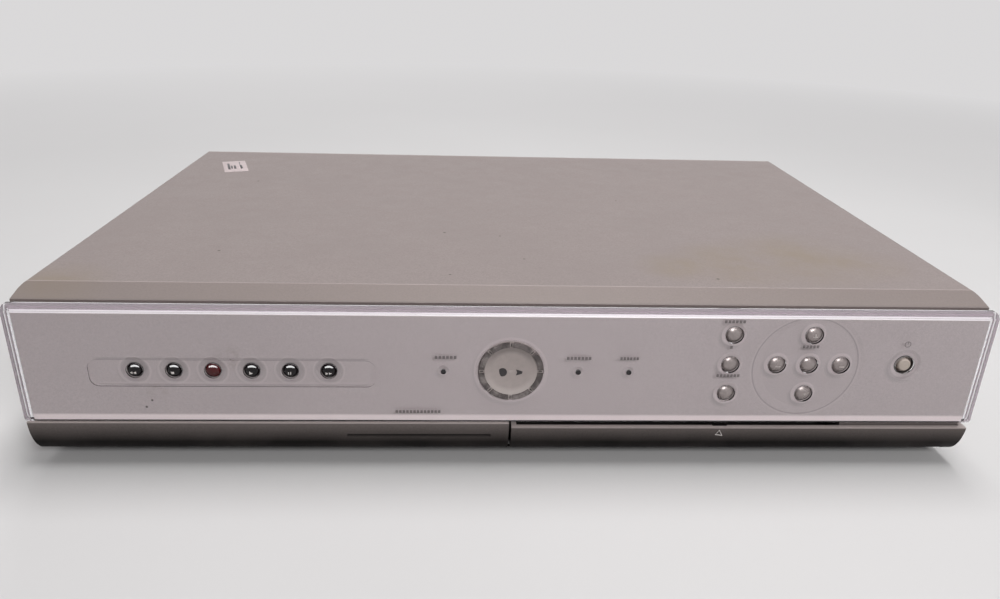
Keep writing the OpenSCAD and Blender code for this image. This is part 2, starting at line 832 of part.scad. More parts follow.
// Painted steel cover: top, sloped front, two sides and a rear lip
module top_cover() {
    half = cover_w / 2;
    z_low = z_base + 0.5;
    color([0.66, 0.63, 0.61])
    place()
    difference() {
        intersection() {
            y_prism(y_cover, body_d)
            union() {
                translate([-half, z_low])
                square([cover_w, z_top - z_low - bend_r]);
                translate([-half + bend_r, z_low])
                square([cover_w - 2 * bend_r, z_top - z_low]);
                for (s = [-1, 1])
                    translate([s * (half - bend_r), z_top - bend_r])
                    circle(bend_r);
            }
            x_prism(-half, half)
            polygon([[y_cover, z_low], [y_cover, z_lens], [y_fold, z_top], [body_d, z_top],
                [body_d, z_low]]);
        }
        intersection() {
            translate([-half + sheet, y_cover + sheet, z_low - 1])
            cube([cover_w - 2 * sheet, y_rear - y_cover - sheet, z_top]);
            x_prism(-half, half)
            polygon([[y_cover, z_low - 1], [y_cover, z_lens - sheet], [y_fold, z_top - sheet],
                [body_d, z_top - sheet], [body_d, z_low - 1]]);
        }
        block([-half + sheet, y_cover - 1, z_low - 1], [half - sheet, y_cover + 2, z_lens - lip_h]);
        block([-half + sheet, y_rear - 1, z_low - 1], [half - sheet, body_d + 1, z_top - rear_lip]);
        block([-half - 1, y_cover - 1, z_low - 1], [half + 1, y_wall + notch_gap, z_panel + notch_gap]);
        vent_slots();
        for (y = side_screws)
            x_rod(-half - 1, half + 1, y, side_screw_z, hole_r);
        for (x = rear_screw_x)
            y_rod([x, rear_screw_z], y_rear - 2, body_d + 1, hole_r);
    }
}

// Screws that hold the cover
module cover_screws() {
    half = cover_w / 2;
    side_head = cover_inset;
    reach = 4;
    color("gray")
    place() {
        for (y = side_screws) {
            x_rod(-half - side_head, -half, y, side_screw_z, head_r);
            x_rod(-half - eps, -half + reach, y, side_screw_z, screw_r);
            x_rod(half, half + side_head, y, side_screw_z, head_r);
            x_rod(half - reach, half + eps, y, side_screw_z, screw_r);
        }
        for (x = rear_screw_x) {
            y_rod([x, rear_screw_z], body_d, body_d + head_h, head_r);
            y_rod([x, rear_screw_z], body_d - reach, body_d + eps, screw_r);
        }
    }
}

// Places of the posts that carry the boards
main_posts = [[main_step + 6, main_front + 6], [main_x1 - 6, main_front + 6],
    [disk_x1 + 2, main_rear + 6], [lnb_x[0] - 4, main_rear + 6], [main_x1 - 5, main_rear - 8],
    [main_step + 6, main_rear - 8]];
power_posts = [for (x = [power_x0 + 5, power_x1 - 5], y = [power_y0 + 5, power_y1 - 5]) [x, y]];
foot_sites = [for (x = [-1, 1], y = [30, y_rear_in - 25]) [x * (in_w - 22), y]];

// Steel base: floor, side walls, front wall with a cut-out, posts and vents
module chassis_base() {
    side_h = 16;
    color([0.6, 0.61, 0.62])
    place()
    difference() {
        union() {
            block([-in_w, y_wall, z_base], [in_w, y_rear_in, z_floor]);
            for (s = [-1, 1])
                translate([s * (in_w - sheet / 2), (y_wall + y_rear_in) / 2, z_base + side_h / 2])
                cube([sheet, y_rear_in - y_wall, side_h], center = true);
            block([-in_w, y_wall, z_base], [in_w, y_wall + sheet, skirt_top - 4]);
            for (p = concat(main_posts, power_posts))
                translate([p[0], p[1], z_floor - eps])
                cylinder(h = post_h + eps, r = 3);
        }
        block([slot_x - slot_w / 2 - 5, y_wall - 1, z_floor],
            [viewing_x + slot_w / 2 + 5, y_wall + sheet + 1, z_panel]);
        block([-in_w + 12, y_wall - 1, z_panel + 12], [-in_w + 62, y_wall + 2, z_panel + 22]);
        block([ribbon_x[0] - 4, y_wall - 1, z_panel + 12], [ribbon_x[1] + 4, y_wall + 2, z_panel + 22]);
        for (p = concat(main_posts, power_posts))
            translate([p[0], p[1], z_base - 1])
            cylinder(h = post_h + sheet + 2, r = screw_r - 0.25);
        for (p = foot_sites)
            translate([p[0], p[1], z_base - 1])
            cylinder(h = sheet + 2, r = 2.6);
        for (i = [0:9])
            translate([disk_x0 + 16 + i * 8, disk_y0 + disk_l / 2, z_base])
            linear_extrude(4 * sheet, center = true)
            rrect(3, 60, 1.4);
        for (y = side_screws)
            x_rod(-in_w - 1, in_w + 1, y, side_screw_z, screw_r);
    }
}

// Rubber feet with plugs through the base
module feet() {
    color([0.1, 0.1, 0.1])
    place()
    for (p = foot_sites)
        translate([p[0], p[1], 0]) {
            cylinder(h = 1, r1 = 8, r2 = 9);
            translate([0, 0, 1 - eps])
            cylinder(h = z_base - 1 + eps, r = 9);
            translate([0, 0, z_base - eps])
            cylinder(h = sheet + 2, r = 2.5);
            translate([0, 0, z_floor])
            cylinder(h = 1.4, r1 = 3.4, r2 = 2.2);
        }
}

// Heights and places of the rear sockets
z_lnb = z_parts + 9;
z_rf = z_parts + 13;
z_scart = [z_parts + 10, z_parts + 33];
phono = [[rear_x[4], z_parts + 11], [rear_x[4], z_parts + 27]];
s_video = [rear_x[5], z_parts + 8];
optical = [rear_x[5], z_parts + 32];
serial = [rear_x[6], z_parts + 9];
phone = [rear_x[6], z_parts + 33];
mains = [mains_x, z_parts + 12];
fan = [fan_x, z_floor + fan_w / 2];
hub_r = 12.5;
shaft_r = 1.5;
shaft_play = 0.05;
fan_mount_t = 2;
bearing_l = 7;
scart_w = 47;
scart_h = 14;
serial_w = 17;
serial_h = 8.4;
grille_n = 4;
fan_screws = [for (sx = [-1, 1], sz = [-1, 1]) [fan[0] + sx * (fan_w / 2 - 5), fan[1] + sz * (fan_w / 2 - 5)]];
small_screws = concat([for (k = z_scart, s = [-1, 1]) [scart_x + s * (scart_plate / 2 - screw_r), k]],
    [for (s = [-1, 1]) [mains[0] + s * 17, mains[1]]], fan_screws);

// Outline of a multi-way socket: a rectangle with one slanted end
module scart_outline(w, h) {
    polygon([[-w / 2, -h / 2], [w / 2 - h / 3, -h / 2], [w / 2, h / 6], [w / 2, h / 2], [-w / 2, h / 2]]);
}

// Outline of a nine-way socket: a trapezium with two slanted ends
module serial_outline(w, h) {
    polygon([[-w / 2 + h / 8, -h / 2], [w / 2 - h / 8, -h / 2], [w / 2, h / 2], [-w / 2, h / 2]]);
}

// Steel rear panel with its cut-outs and the fan's grille
module rear_panel() {
    color([0.66, 0.67, 0.68])
    place()
    difference() {
        block([-panel_half, y_rear_in, z_base], [panel_half, y_rear, z_top - sheet - sheet_play]);
        for (x = lnb_x)
            y_rod([x, z_lnb], y_rear_in - 1, y_rear + 1, thread_r + cut);
        for (x = rf_x)
            y_rod([x, z_rf], y_rear_in - 1, y_rear + 1, 5.2 + cut);
        for (z = z_scart)
            y_prism(y_rear_in - 1, y_rear + 1)
            translate([scart_x, z])
            scart_outline(scart_w + 2 * cut, scart_h + 2 * cut);
        for (s = phono)
            y_rod(s, y_rear_in - 1, y_rear + 1, 4.6 + cut);
        y_rod(s_video, y_rear_in - 1, y_rear + 1, 6 + cut);
        y_prism(y_rear_in - 1, y_rear + 1)
        translate(optical)
        square([9.8 + 2 * cut, 9.8 + 2 * cut], center = true);
        y_prism(y_rear_in - 1, y_rear + 1)
        translate(serial)
        serial_outline(serial_w + 2 + 2 * cut, serial_h + 2 + 2 * cut);
        y_prism(y_rear_in - 1, y_rear + 1)
        translate(phone)
        square([13 + 2 * cut, 13 + 2 * cut], center = true);
        y_prism(y_rear_in - 1, y_rear + 1)
        translate(mains)
        rrect(26 + 2 * cut, 16 + 2 * cut, 5);
        difference() {
            for (i = [1:grille_n])
                difference() {
                    y_rod(fan, y_rear_in - 1, y_rear + 1, i * 6.6 + 1.2);
                    y_rod(fan, y_rear_in - 2, y_rear + 2, i * 6.6 - 2.6);
                }
            for (a = [45, 135])
                translate([fan[0], y_rear, fan[1]])
                rotate([0, a, 0])
                cube([fan_w * 1.2, 6, 3], center = true);
        }
        for (s = small_screws)
            y_rod(s, y_rear_in - 1, y_rear + 1, hole_r);
        for (x = rear_screw_x)
            y_rod([x, rear_screw_z], y_rear_in - 1, y_rear + 1, screw_r);
    }
}

// Screws of the rear sockets and the fan
module rear_screws() {
    color("gray")
    place()
    for (s = small_screws) {
        y_rod(s, y_rear, y_rear + head_h, head_r);
        y_rod(s, y_rear - 4, y_rear + eps, screw_r);
    }
}

// Main circuit board, stepped round the hard disk
module main_board() {
    color("darkgreen")
    place()
    difference() {
        translate([0, 0, z_pcb])
        linear_extrude(pcb)
        polygon([[main_x0, main_rear], [main_step, main_rear], [main_step, main_front],
            [main_x1, main_front], [main_x1, board_back], [main_x0, board_back]]);
        for (p = main_posts)
            translate([p[0], p[1], z_pcb - 1])
            cylinder(h = pcb + 2, r = hole_r);
    }
}

// Processor and its heat sink
cpu_w = 27;
cpu_h = 2.2;
sink_w = 30;
sink_h = 11;
fin_t = 1.2;

// Chips on the main board: share of its width, distance behind its front, width, length, height
chips = [[0.32, 32, cpu_w, cpu_w, cpu_h], [0.6, 24, 12, 20, 1.2], [0.6, 48, 12, 20, 1.2],
    [0.77, 30, 20, 14, 1.6], [0.13, 72, 14, 14, 1.4], [0.37, 77, 20, 20, 1.6], [0.67, 84, 16, 10, 1.4],
    [0.83, 62, 10, 18, 3.4]];

// Middle of a chip on the board
function chip_at(c) = [main_step + c[0] * (main_x1 - main_step), main_front + c[1]];

// Chips on the main board
module board_chips() {
    color([0.12, 0.12, 0.13])
    place()
    for (c = chips)
        translate([chip_at(c)[0] - c[2] / 2, chip_at(c)[1] - c[3] / 2, z_parts])
        cube([c[2], c[3], c[4]]);
}

// Finned heat sink on the processor
module chip_heat_sink() {
    site = chip_at(chips[0]);
    fin_n = 9;
    color([0.2, 0.2, 0.22])
    place()
    translate([site[0] - sink_w / 2, site[1] - sink_w / 2, z_parts + cpu_h]) {
        cube([sink_w, sink_w, 2]);
        for (i = [0:fin_n - 1])
            translate([i * (sink_w - fin_t) / (fin_n - 1), 0, 2 - eps])
            cube([fin_t, sink_w, sink_h - 2 + eps]);
    }
}

// Screened tuner cans behind the dish inputs
module tuner_modules() {
    h = 18;
    w = tuner_w;
    rib = (y_rear_in - can_front) / 4;
    color([0.75, 0.75, 0.76])
    place()
    for (x = lnb_x)
        difference() {
            block([x - w / 2, can_front, z_parts], [x + w / 2, y_rear_in, z_parts + h]);
            for (i = [0:3])
                block([x - w / 2 + 3, can_front + (i + 0.2) * rib, z_parts + h - 0.4],
                    [x + w / 2 - 3, can_front + (i + 0.8) * rib, z_parts + h + 1]);
            y_rod([x, z_lnb], y_rear_in - 6, y_rear_in + 1, 3);
        }
}

// Threaded dish inputs with their nuts
module lnb_connectors() {
    color([0.8, 0.79, 0.74])
    place()
    for (x = lnb_x)
        difference() {
            union() {
                y_rod([x, z_lnb], y_rear_in, y_rear + thread_l, thread_r);
                y_rod([x, z_lnb], y_rear_in - 6, y_rear_in + eps, 3);
                y_prism(y_rear, y_rear + 2)
                translate([x, z_lnb])
                circle(6.4, $fn = 6);
            }
            y_rod([x, z_lnb], y_rear + thread_l - 7, y_rear + thread_l + 1, 0.6);
        }
}

// Aerial sockets on their screened can
module rf_sockets() {
    z1 = z_parts + 26;
    color([0.75, 0.75, 0.76])
    place()
    difference() {
        union() {
            block([rf_x[0] - rf_edge, rf_front, z_parts], [rf_x[2] + rf_edge, y_rear_in, z1]);
            for (x = rf_x)
                y_rod([x, z_rf], y_rear_in - eps, y_rear + 9, 5.2);
        }
        for (x = rf_x)
            difference() {
                y_rod([x, z_rf], y_rear - 3, y_rear + 10, 4.2);
                y_rod([x, z_rf], y_rear - 4, y_rear + 7, 1.2);
            }
    }
}

// Two stacked multi-way sockets
module scart_sockets() {
    pins = 10;
    color([0.13, 0.13, 0.14])
    place() {
        block([scart_x - scart_block / 2, y_rear_in - 18, z_parts],
            [scart_x + scart_block / 2, y_rear_in - 8, z_scart[1] + 10]);
        for (z = z_scart)
            difference() {
                union() {
                    y_prism(y_rear_in - 8 - eps, y_rear_in)
                    translate([scart_x, z])
                    square([scart_w + 4, scart_h + 4], center = true);
                    y_prism(y_rear_in - eps, y_rear + 1.5)
                    translate([scart_x, z])
                    scart_outline(scart_w, scart_h);
                }
                y_prism(y_rear - 6, y_rear + 2)
                translate([scart_x, z])
                difference() {
                    scart_outline(scart_w - 2, scart_h - 2);
                    scart_outline(scart_w - 7, scart_h - 6.4);
                }
                for (i = [0:pins - 1], r = [-1, 1])
                    translate([scart_x - 17.4 + i * 3.6 + (r > 0 ? 1.2 : 0), y_rear - 4, z + r * 2 - 0.4])
                    cube([1.4, 8, 0.8]);
                for (s = [-1, 1])
                    y_rod([scart_x + s * (scart_w / 2 + 4), z], y_rear_in - 9, y_rear, screw_r);
            }
    }
}

// Pair of phono sockets
module phono_sockets() {
    color([0.7, 0.7, 0.68])
    place() {
        block([phono[0][0] - phono_block / 2, y_rear_in - 12, z_parts],
            [phono[0][0] + phono_block / 2, y_rear_in, phono[1][1] + 8]);
        for (s = phono)
            difference() {
                y_rod(s, y_rear_in - eps, y_rear + 8.5, 4.15);
                y_rod(s, y_rear - 2, y_rear + 9, 1.6);
            }
        for (s = phono)
            difference() {
                y_rod(s, y_rear_in - eps, y_rear + 1.2, 4.6);
                y_rod(s, y_rear_in - 1, y_rear + 2, 4.1);
            }
    }
}

// Round four-pin video socket
module s_video_socket() {
    color([0.12, 0.12, 0.13])
    place()
    difference() {
        union() {
            block([s_video[0] - video_block / 2, y_rear_in - 13, z_parts],
                [s_video[0] + video_block / 2, y_rear_in, s_video[1] + 7]);
            y_rod(s_video, y_rear_in - eps, y_rear + 0.6, 6);
        }
        difference() {
            y_rod(s_video, y_rear - 5, y_rear + 1, 4.7);
            y_rod(s_video, y_rear - 6, y_rear, 3.7);
        }
        for (a = [[-1.7, 0.6], [1.7, 0.6], [-1.2, -2], [1.2, -2]])
            y_rod([s_video[0] + a[0], s_video[1] + a[1]], y_rear - 5, y_rear + 1, 0.5);
    }
}

// Square optical socket on its riser
module optical_socket() {
    half = 4.9;
    hole = 3.2;
    color([0.1, 0.1, 0.11])
    place()
    difference() {
        union() {
            block([optical[0] - half, y_rear_in - 13, s_video[1] + 7],
                [optical[0] + half, y_rear_in, optical[1] + half]);
            block([optical[0] - half, y_rear_in - eps, optical[1] - half],
                [optical[0] + half, y_rear + 0.4, optical[1] + half]);
        }
        block([optical[0] - hole, y_rear - 8, optical[1] - hole], [optical[0] + hole, y_rear + 1, optical[1] + hole]);
    }
}

// Nine-way serial socket
module serial_socket() {
    color([0.72, 0.72, 0.73])
    place() {
        difference() {
            union() {
                block([serial[0] - serial_block / 2, y_rear_in - 11, z_parts],
                    [serial[0] + serial_block / 2, y_rear_in, serial[1] + 8]);
                y_prism(y_rear_in - eps, y_rear + 5)
                translate(serial)
                serial_outline(serial_w + 2, serial_h + 2);
            }
            y_prism(y_rear - 1, y_rear + 6)
            translate(serial)
            serial_outline(serial_w, serial_h);
        }
        for (i = [0:4])
            y_rod([serial[0] + (i - 2) * 2.77, serial[1] + 1.4], y_rear - 1 - eps, y_rear + 4, 0.5);
        for (i = [0:3])
            y_rod([serial[0] + (i - 1.5) * 2.77, serial[1] - 1.4], y_rear - 1 - eps, y_rear + 4, 0.5);
    }
}

// Telephone socket on its riser
module phone_socket() {
    half = 6.5;
    color([0.14, 0.14, 0.15])
    place()
    difference() {
        union() {
            block([phone[0] - half, y_rear_in - 16, serial[1] + 8], [phone[0] + half, y_rear_in, phone[1] + half]);
            block([phone[0] - half, y_rear_in - eps, phone[1] - half],
                [phone[0] + half, y_rear + 0.4, phone[1] + half]);
        }
        block([phone[0] - 4.9, y_rear - 12, phone[1] - 3.2], [phone[0] + 4.9, y_rear + 1, phone[1] + 3.6]);
        block([phone[0] - 3, y_rear - 12, phone[1] - 5], [phone[0] + 3, y_rear + 1, phone[1] - 3]);
    }
}

// Two-pin mains inlet
module mains_inlet() {
    color([0.1, 0.1, 0.1])
    place() {
        difference() {
            union() {
                block([mains[0] - mains_block / 2, y_rear_in - 3, mains[1] - 9],
                    [mains[0] + mains_block / 2, y_rear_in, mains[1] + 9]);
                y_prism(y_rear_in - 18, y_rear + 0.8)
                translate(mains)
                rrect(26, 16, 4.9);
            }
            y_prism(y_rear - 12, y_rear + 1)
            translate(mains)
            rrect(16.6, 8.4, 4.1);
            for (s = [-1, 1])
                y_rod([mains[0] + s * 17, mains[1]], y_rear_in - 5, y_rear, screw_r);
        }
        for (s = [-1, 1])
            y_rod([mains[0] + s * 4.3, mains[1]], y_rear - 12 - eps, y_rear - 1, 1.2);
    }
}

// Square fan frame with its motor mount
module fan_frame() {
    y0 = y_rear_in - fan_t;
    bore = fan_w / 2 - 1.4;
    color([0.14, 0.14, 0.15])
    place()
    difference() {
        union() {
            difference() {
                y_prism(y0, y_rear_in)
                translate(fan)
                rrect(fan_w, fan_w, 3);
                y_rod(fan, y0 - 1, y_rear_in + 1, bore);
            }
            y_rod(fan, y0, y0 + fan_mount_t, hub_r);
            y_rod(fan, y0, y0 + fan_mount_t + bearing_l, shaft_r + shaft_play + 2);
            intersection() {
                y_rod(fan, y0, y0 + fan_mount_t, bore + 0.4);
                for (a = [0, 90])
                    translate([fan[0], y0, fan[1]])
                    rotate([0, a + 20, 0])
                    cube([fan_w, 6, 3], center = true);
            }
        }
        y_rod(fan, y0 + 1, y0 + fan_mount_t + bearing_l + 1, shaft_r + shaft_play);
        for (s = fan_screws)
            y_rod(s, y0 - 1, y_rear_in + 1, screw_r);
    }
}

// Fan hub and blades
module fan_rotor() {
    y0 = y_rear_in - fan_t + fan_mount_t + 0.6;
    y1 = y_rear_in - 1.2;
    tip = fan_w / 2 - 2.4;
    color([0.2, 0.2, 0.21])
    place() {
        difference() {
            y_rod(fan, y0, y1, hub_r);
            y_rod(fan, y0 - 1, y1 - 1.6, hub_r - 1.5);
        }
        y_rod(fan, y_rear_in - fan_t + 1.5, y1 - 1, shaft_r);
        intersection() {
            difference() {
                y_rod(fan, y0, y1, tip);
                y_rod(fan, y0 - 1, y1 + 1, hub_r - 0.5);
            }
            for (i = [0:blade_n - 1])
                translate([fan[0], (y0 + y1) / 2, fan[1]])
                rotate([0, i * 360 / blade_n, 0])
                rotate([0, 0, 38])
                translate([0, 0, 20])
                cube([16, 1.4, 26], center = true);
        }
    }
}

// Power supply board
module power_board() {
    color([0.55, 0.45, 0.25])
    place()
    difference() {
        block([power_x0, power_y0, z_pcb], [power_x1, power_y1, z_parts]);
        for (p = power_posts)
            translate([p[0], p[1], z_pcb - 1])
            cylinder(h = pcb + 2, r = hole_r);
    }
}

// Transformer: ferrite core, bobbin and winding
module transformer() {
    color([0.85, 0.7, 0.3])
    place()
    translate([(power_x0 + power_x1) / 2, (power_y0 + power_y1) / 2, z_parts]) {
        difference() {
            translate([-17, -16, 0])
            cube([34, 32, 26]);
            for (s = [-1, 1])
                translate([s * 11 - 4.5, -17, 5])
                cube([9, 34, 16]);
        }
        translate([-11, -18, 5])
        cube([22, 36, 16]);
    }
}

// Radius and height of the large, middle and small capacitors
cap_large = [11, 30];
cap_mid = [9, 26];
cap_small = [5, 16];
cap_tiny = [4, 9];

// Capacitors on both boards
module capacitors() {
    caps = [concat([power_x0 + 20, power_y0 + 22], cap_large),
        concat([power_x0 + 46, power_y0 + 20], cap_mid),
        concat([power_x0 + 16, power_y1 - 26], cap_small),
        concat([power_x0 + 30, power_y1 - 22], cap_small),
        concat([power_x0 + 16, power_y1 - 44], cap_tiny),
        concat([main_x1 - 12, main_front + 15], cap_tiny),
        concat([main_x1 - 14, main_rear - 22], cap_tiny)];
    color([0.1, 0.14, 0.35])
    place()
    for (c = caps)
        translate([c[0], c[1], z_parts])
        difference() {
            cylinder(h = c[3], r = c[2]);
            translate([0, 0, c[3] - 0.4])
            difference() {
                cylinder(h = 1, r = c[2] - 0.6);
                translate([0, 0, -1])
                cylinder(h = 3, r = c[2] - 1.4);
            }
        }
}

// Length, height, back and fin reach of the power supply's heat sinks
comb_l = 34;
comb_h = 32;
comb_t = 2;
comb_w = 10;

// Upright aluminium heat sinks of the power supply
module power_heat_sinks() {
    fins = 5;
    color([0.78, 0.79, 0.8])
    place()
    for (y = [power_y0 + 24, power_y1 - comb_l - 12])
        translate([power_x1 - 22, y, z_parts]) {
            cube([comb_t, comb_l, comb_h]);
            for (i = [0:fins - 1])
                translate([comb_t - eps, i * (comb_l - fin_t) / (fins - 1), 0])
                cube([comb_w, fin_t, comb_h]);
        }
}

// Hard disk: cast body, lid and circuit board
module hard_disk() {
    color([0.7, 0.71, 0.73])
    place() {
        difference() {
            block([disk_x0, disk_y0, disk_z], [disk_x1, disk_y1, disk_z + disk_h - 1]);
            for (s = [[0.25, 0.16], [0.75, 0.16], [0.25, 0.9], [0.75, 0.9]])
                translate([disk_x0 + s[0] * disk_w, disk_y0 + s[1] * disk_l, disk_z - 1])
                cylinder(h = 4, r = 1.4);
            block([disk_x0 + 48, disk_y1 - 6, disk_z + 3], [disk_x0 + 99, disk_y1 + 1, disk_z + 11]);
        }
        translate([(disk_x0 + disk_x1) / 2, (disk_y0 + disk_y1) / 2, disk_z + disk_h - 1 - eps])
        linear_extrude(1)
        rrect(disk_w - 5, disk_l - 6, 6);
    }
}

// Steel bracket that carries the hard disk on four legs
module disk_bracket() {
    tab = 12;
    color([0.6, 0.61, 0.62])
    place()
    difference() {
        union() {
            block([disk_x0, disk_y0, disk_z - bracket_t], [disk_x1, disk_y1, disk_z]);
            for (x = [disk_x0, disk_x1 - bracket_t], y = [leg_y, disk_y1 - 8 - tab])
                block([x, y, z_floor], [x + bracket_t, y + tab, disk_z]);
            for (x = [disk_x0, disk_x1 - 8], y = [leg_y, disk_y1 - 8 - tab])
                block([x, y, z_floor], [x + 8, y + tab, z_floor + bracket_t]);
        }
        for (i = [-1:1])
            block([disk_x0 + 14, disk_y0 + disk_l / 2 + i * 40 - 12, disk_z - 3],
                [disk_x1 - 14, disk_y0 + disk_l / 2 + i * 40 + 12, disk_z + 1]);
    }
}

// Flat cables from the hard disk and the front board to the main board
module ribbon_cables() {
    t = 1;
    color([0.65, 0.66, 0.68])
    place() {
        x_prism(disk_x0 + 50, disk_x0 + 97)
        polygon([[disk_y1 - 6, disk_z + 6], [disk_y1 + 4, disk_z + 6], [main_rear + 6, z_parts],
            [main_rear + 6 + 1.2 * t, z_parts], [disk_y1 + 4.4, disk_z + 6 + 1.4 * t],
            [disk_y1 - 6, disk_z + 6 + 1.4 * t]]);
        x_prism(ribbon_x[0], ribbon_x[1])
        polygon([[y_board + pcb, z_panel + 16], [y_wall + 12, z_panel + 16], [main_front + 8, z_parts],
            [main_front + 8 + 1.4 * t, z_parts], [y_wall + 12.4, z_panel + 17.2],
            [y_board + pcb, z_panel + 17.2]]);
    }
}

// Card reader: housing with its slot and four feet
module card_reader(x, y0) {
    half = reader_w / 2;
    difference() {
        block([x - half, y0, z_reader], [x + half, y0 + reader_l, z_reader + reader_h]);
        block([x - slot_w / 2, y0 - 1, z_slot - slot_h / 2],
            [x + slot_w / 2, y0 + 46, z_slot + slot_h / 2]);
        block([x - 12, y0 + 12, z_slot + slot_h / 2 + 1], [x + 12, y0 + 34, z_slot + reader_h]);
    }
    for (sx = [-1, 1], dy = [18, reader_l - 6])
        translate([x + sx * (half - 4), y0 + dy, z_floor])
        cylinder(h = z_reader - z_floor + eps, r = 2.5);
}

module card_reader_left() {
    color([0.16, 0.16, 0.17])
    place()
    card_reader(slot_x, y_wall - reader_in);
}

module card_reader_right() {
    color([0.16, 0.16, 0.17])
    place()
    card_reader(viewing_x, y_wall);
}

// Screws of the three boards
module board_screws() {
    color("gray")
    place() {
        for (p = concat(main_posts, power_posts))
            translate([p[0], p[1], z_parts]) {
                cylinder(h = head_h, r = head_r);
                translate([0, 0, -pcb - 3])
                cylinder(h = pcb + 3 + eps, r = screw_r - 0.25);
            }
        for (s = concat(boss_sites, boss_low)) {
            y_rod(s, y_board + pcb, y_board + pcb + head_h, head_r);
            y_rod(s, y_board - 4, y_board + pcb + eps, screw_r - 0.25);
        }
    }
}

top_cover();
chassis_base();
rear_panel();
front_fascia();
front_lens();
lower_trim();
card_flap();
flap_pins();
button_rewind();
button_stop();
button_record();
button_play();
button_pause();
button_forward();
button_back();
button_info();
button_guide();
button_up();
button_left();
button_select();
button_right();
button_down();
button_standby();
display_ring();
display_lens();
light_pipes();
front_board();
tact_switches();
main_board();
board_chips();
chip_heat_sink();
tuner_modules();
power_board();
transformer();
capacitors();
power_heat_sinks();
hard_disk();
disk_bracket();
ribbon_cables();
card_reader_left();
card_reader_right();
fan_frame();
fan_rotor();
lnb_connectors();
rf_sockets();
scart_sockets();
phono_sockets();
s_video_socket();
optical_socket();
serial_socket();
phone_socket();
mains_inlet();
feet();
cover_screws();
rear_screws();
board_screws();
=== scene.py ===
import math

import bmesh
import bpy
from mathutils import Matrix, Vector


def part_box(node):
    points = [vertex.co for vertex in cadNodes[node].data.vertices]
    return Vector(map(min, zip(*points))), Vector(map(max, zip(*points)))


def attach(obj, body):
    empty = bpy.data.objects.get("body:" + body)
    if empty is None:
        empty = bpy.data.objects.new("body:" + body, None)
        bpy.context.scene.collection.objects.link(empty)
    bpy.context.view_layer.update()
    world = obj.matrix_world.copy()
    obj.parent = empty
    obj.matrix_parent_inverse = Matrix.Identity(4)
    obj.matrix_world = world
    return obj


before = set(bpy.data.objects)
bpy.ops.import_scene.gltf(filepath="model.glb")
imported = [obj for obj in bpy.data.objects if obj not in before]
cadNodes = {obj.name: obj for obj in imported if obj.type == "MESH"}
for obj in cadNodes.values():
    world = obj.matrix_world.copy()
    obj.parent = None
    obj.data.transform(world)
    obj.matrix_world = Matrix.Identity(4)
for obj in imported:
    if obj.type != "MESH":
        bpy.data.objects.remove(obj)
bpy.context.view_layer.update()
bpy.ops.object.select_all(action="DESELECT")
print("frame loaded with", len(cadNodes), "nodes")

mm = 0.001

# planes of the front, the cover and the rear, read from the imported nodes
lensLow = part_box("front_lens")[0]
frontY = lensLow.y
panelZ = lensLow.z
coverLow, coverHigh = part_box("top_cover")
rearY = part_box("rear_panel")[1].y


# small helpers for materials

def startMaterial(name):
    made = bpy.data.materials.new(name)
    made.use_nodes = True
    tree = made.node_tree
    tree.nodes.clear()
    out = tree.nodes.new("ShaderNodeOutputMaterial")
    shader = tree.nodes.new("ShaderNodeBsdfPrincipled")
    tree.links.new(shader.outputs["BSDF"], out.inputs["Surface"])
    where = tree.nodes.new("ShaderNodeTexCoord").outputs["Object"]
    return made, tree, shader, where


def setSockets(shader, values):
    for name, value in values.items():
        shader.inputs[name].default_value = value


def plug(tree, value, socket):
    if isinstance(value, bpy.types.NodeSocket):
        tree.links.new(value, socket)
    else:
        socket.default_value = value


def noiseOn(tree, where, scale, detail=2.0, rough=0.5, stretch=None):
    if stretch:
        turned = tree.nodes.new("ShaderNodeMapping")
        turned.inputs["Scale"].default_value = stretch
        plug(tree, where, turned.inputs["Vector"])
        where = turned.outputs["Vector"]
    made = tree.nodes.new("ShaderNodeTexNoise")
    setSockets(made, {"Scale": scale, "Detail": detail, "Roughness": rough})
    plug(tree, where, made.inputs["Vector"])
    return made.outputs["Fac"]


def spread(tree, value, low, high, toLow=0.0, toHigh=1.0):
    made = tree.nodes.new("ShaderNodeMapRange")
    setSockets(made, {"From Min": low, "From Max": high, "To Min": toLow, "To Max": toHigh})
    plug(tree, value, made.inputs["Value"])
    return made.outputs["Result"]


def calc(tree, operation, first, second=0.0):
    made = tree.nodes.new("ShaderNodeMath")
    made.operation = operation
    plug(tree, first, made.inputs[0])
    plug(tree, second, made.inputs[1])
    return made.outputs[0]


def mix(tree, fac, first, second):
    made = tree.nodes.new("ShaderNodeMix")
    made.data_type = "RGBA"
    plug(tree, fac, made.inputs["Factor"])
    plug(tree, first if not isinstance(first, tuple) else (*first, 1.0), made.inputs["A"])
    plug(tree, second if not isinstance(second, tuple) else (*second, 1.0), made.inputs["B"])
    return made.outputs["Result"]


def axesOf(tree, where):
    made = tree.nodes.new("ShaderNodeSeparateXYZ")
    plug(tree, where, made.inputs["Vector"])
    return made.outputs["X"], made.outputs["Y"], made.outputs["Z"]


def addBump(tree, shader, height, strength, distance):
    made = tree.nodes.new("ShaderNodeBump")
    setSockets(made, {"Strength": strength, "Distance": distance})
    plug(tree, height, made.inputs["Height"])
    plug(tree, made.outputs["Normal"], shader.inputs["Normal"])


def distanceTo(tree, where, point):
    made = tree.nodes.new("ShaderNodeVectorMath")
    made.operation = "DISTANCE"
    plug(tree, where, made.inputs[0])
    made.inputs[1].default_value = point
    return made.outputs["Value"]


def pick(tree, operation, values):
    total = values[0]
    for value in values[1:]:
        total = calc(tree, operation, total, value)
    return total


def gapTo(tree, where, points):
    return pick(tree, "MINIMUM", [distanceTo(tree, where, point) for point in points])


def gapFrom(tree, value, level):
    return calc(tree, "ABSOLUTE", calc(tree, "SUBTRACT", value, level))


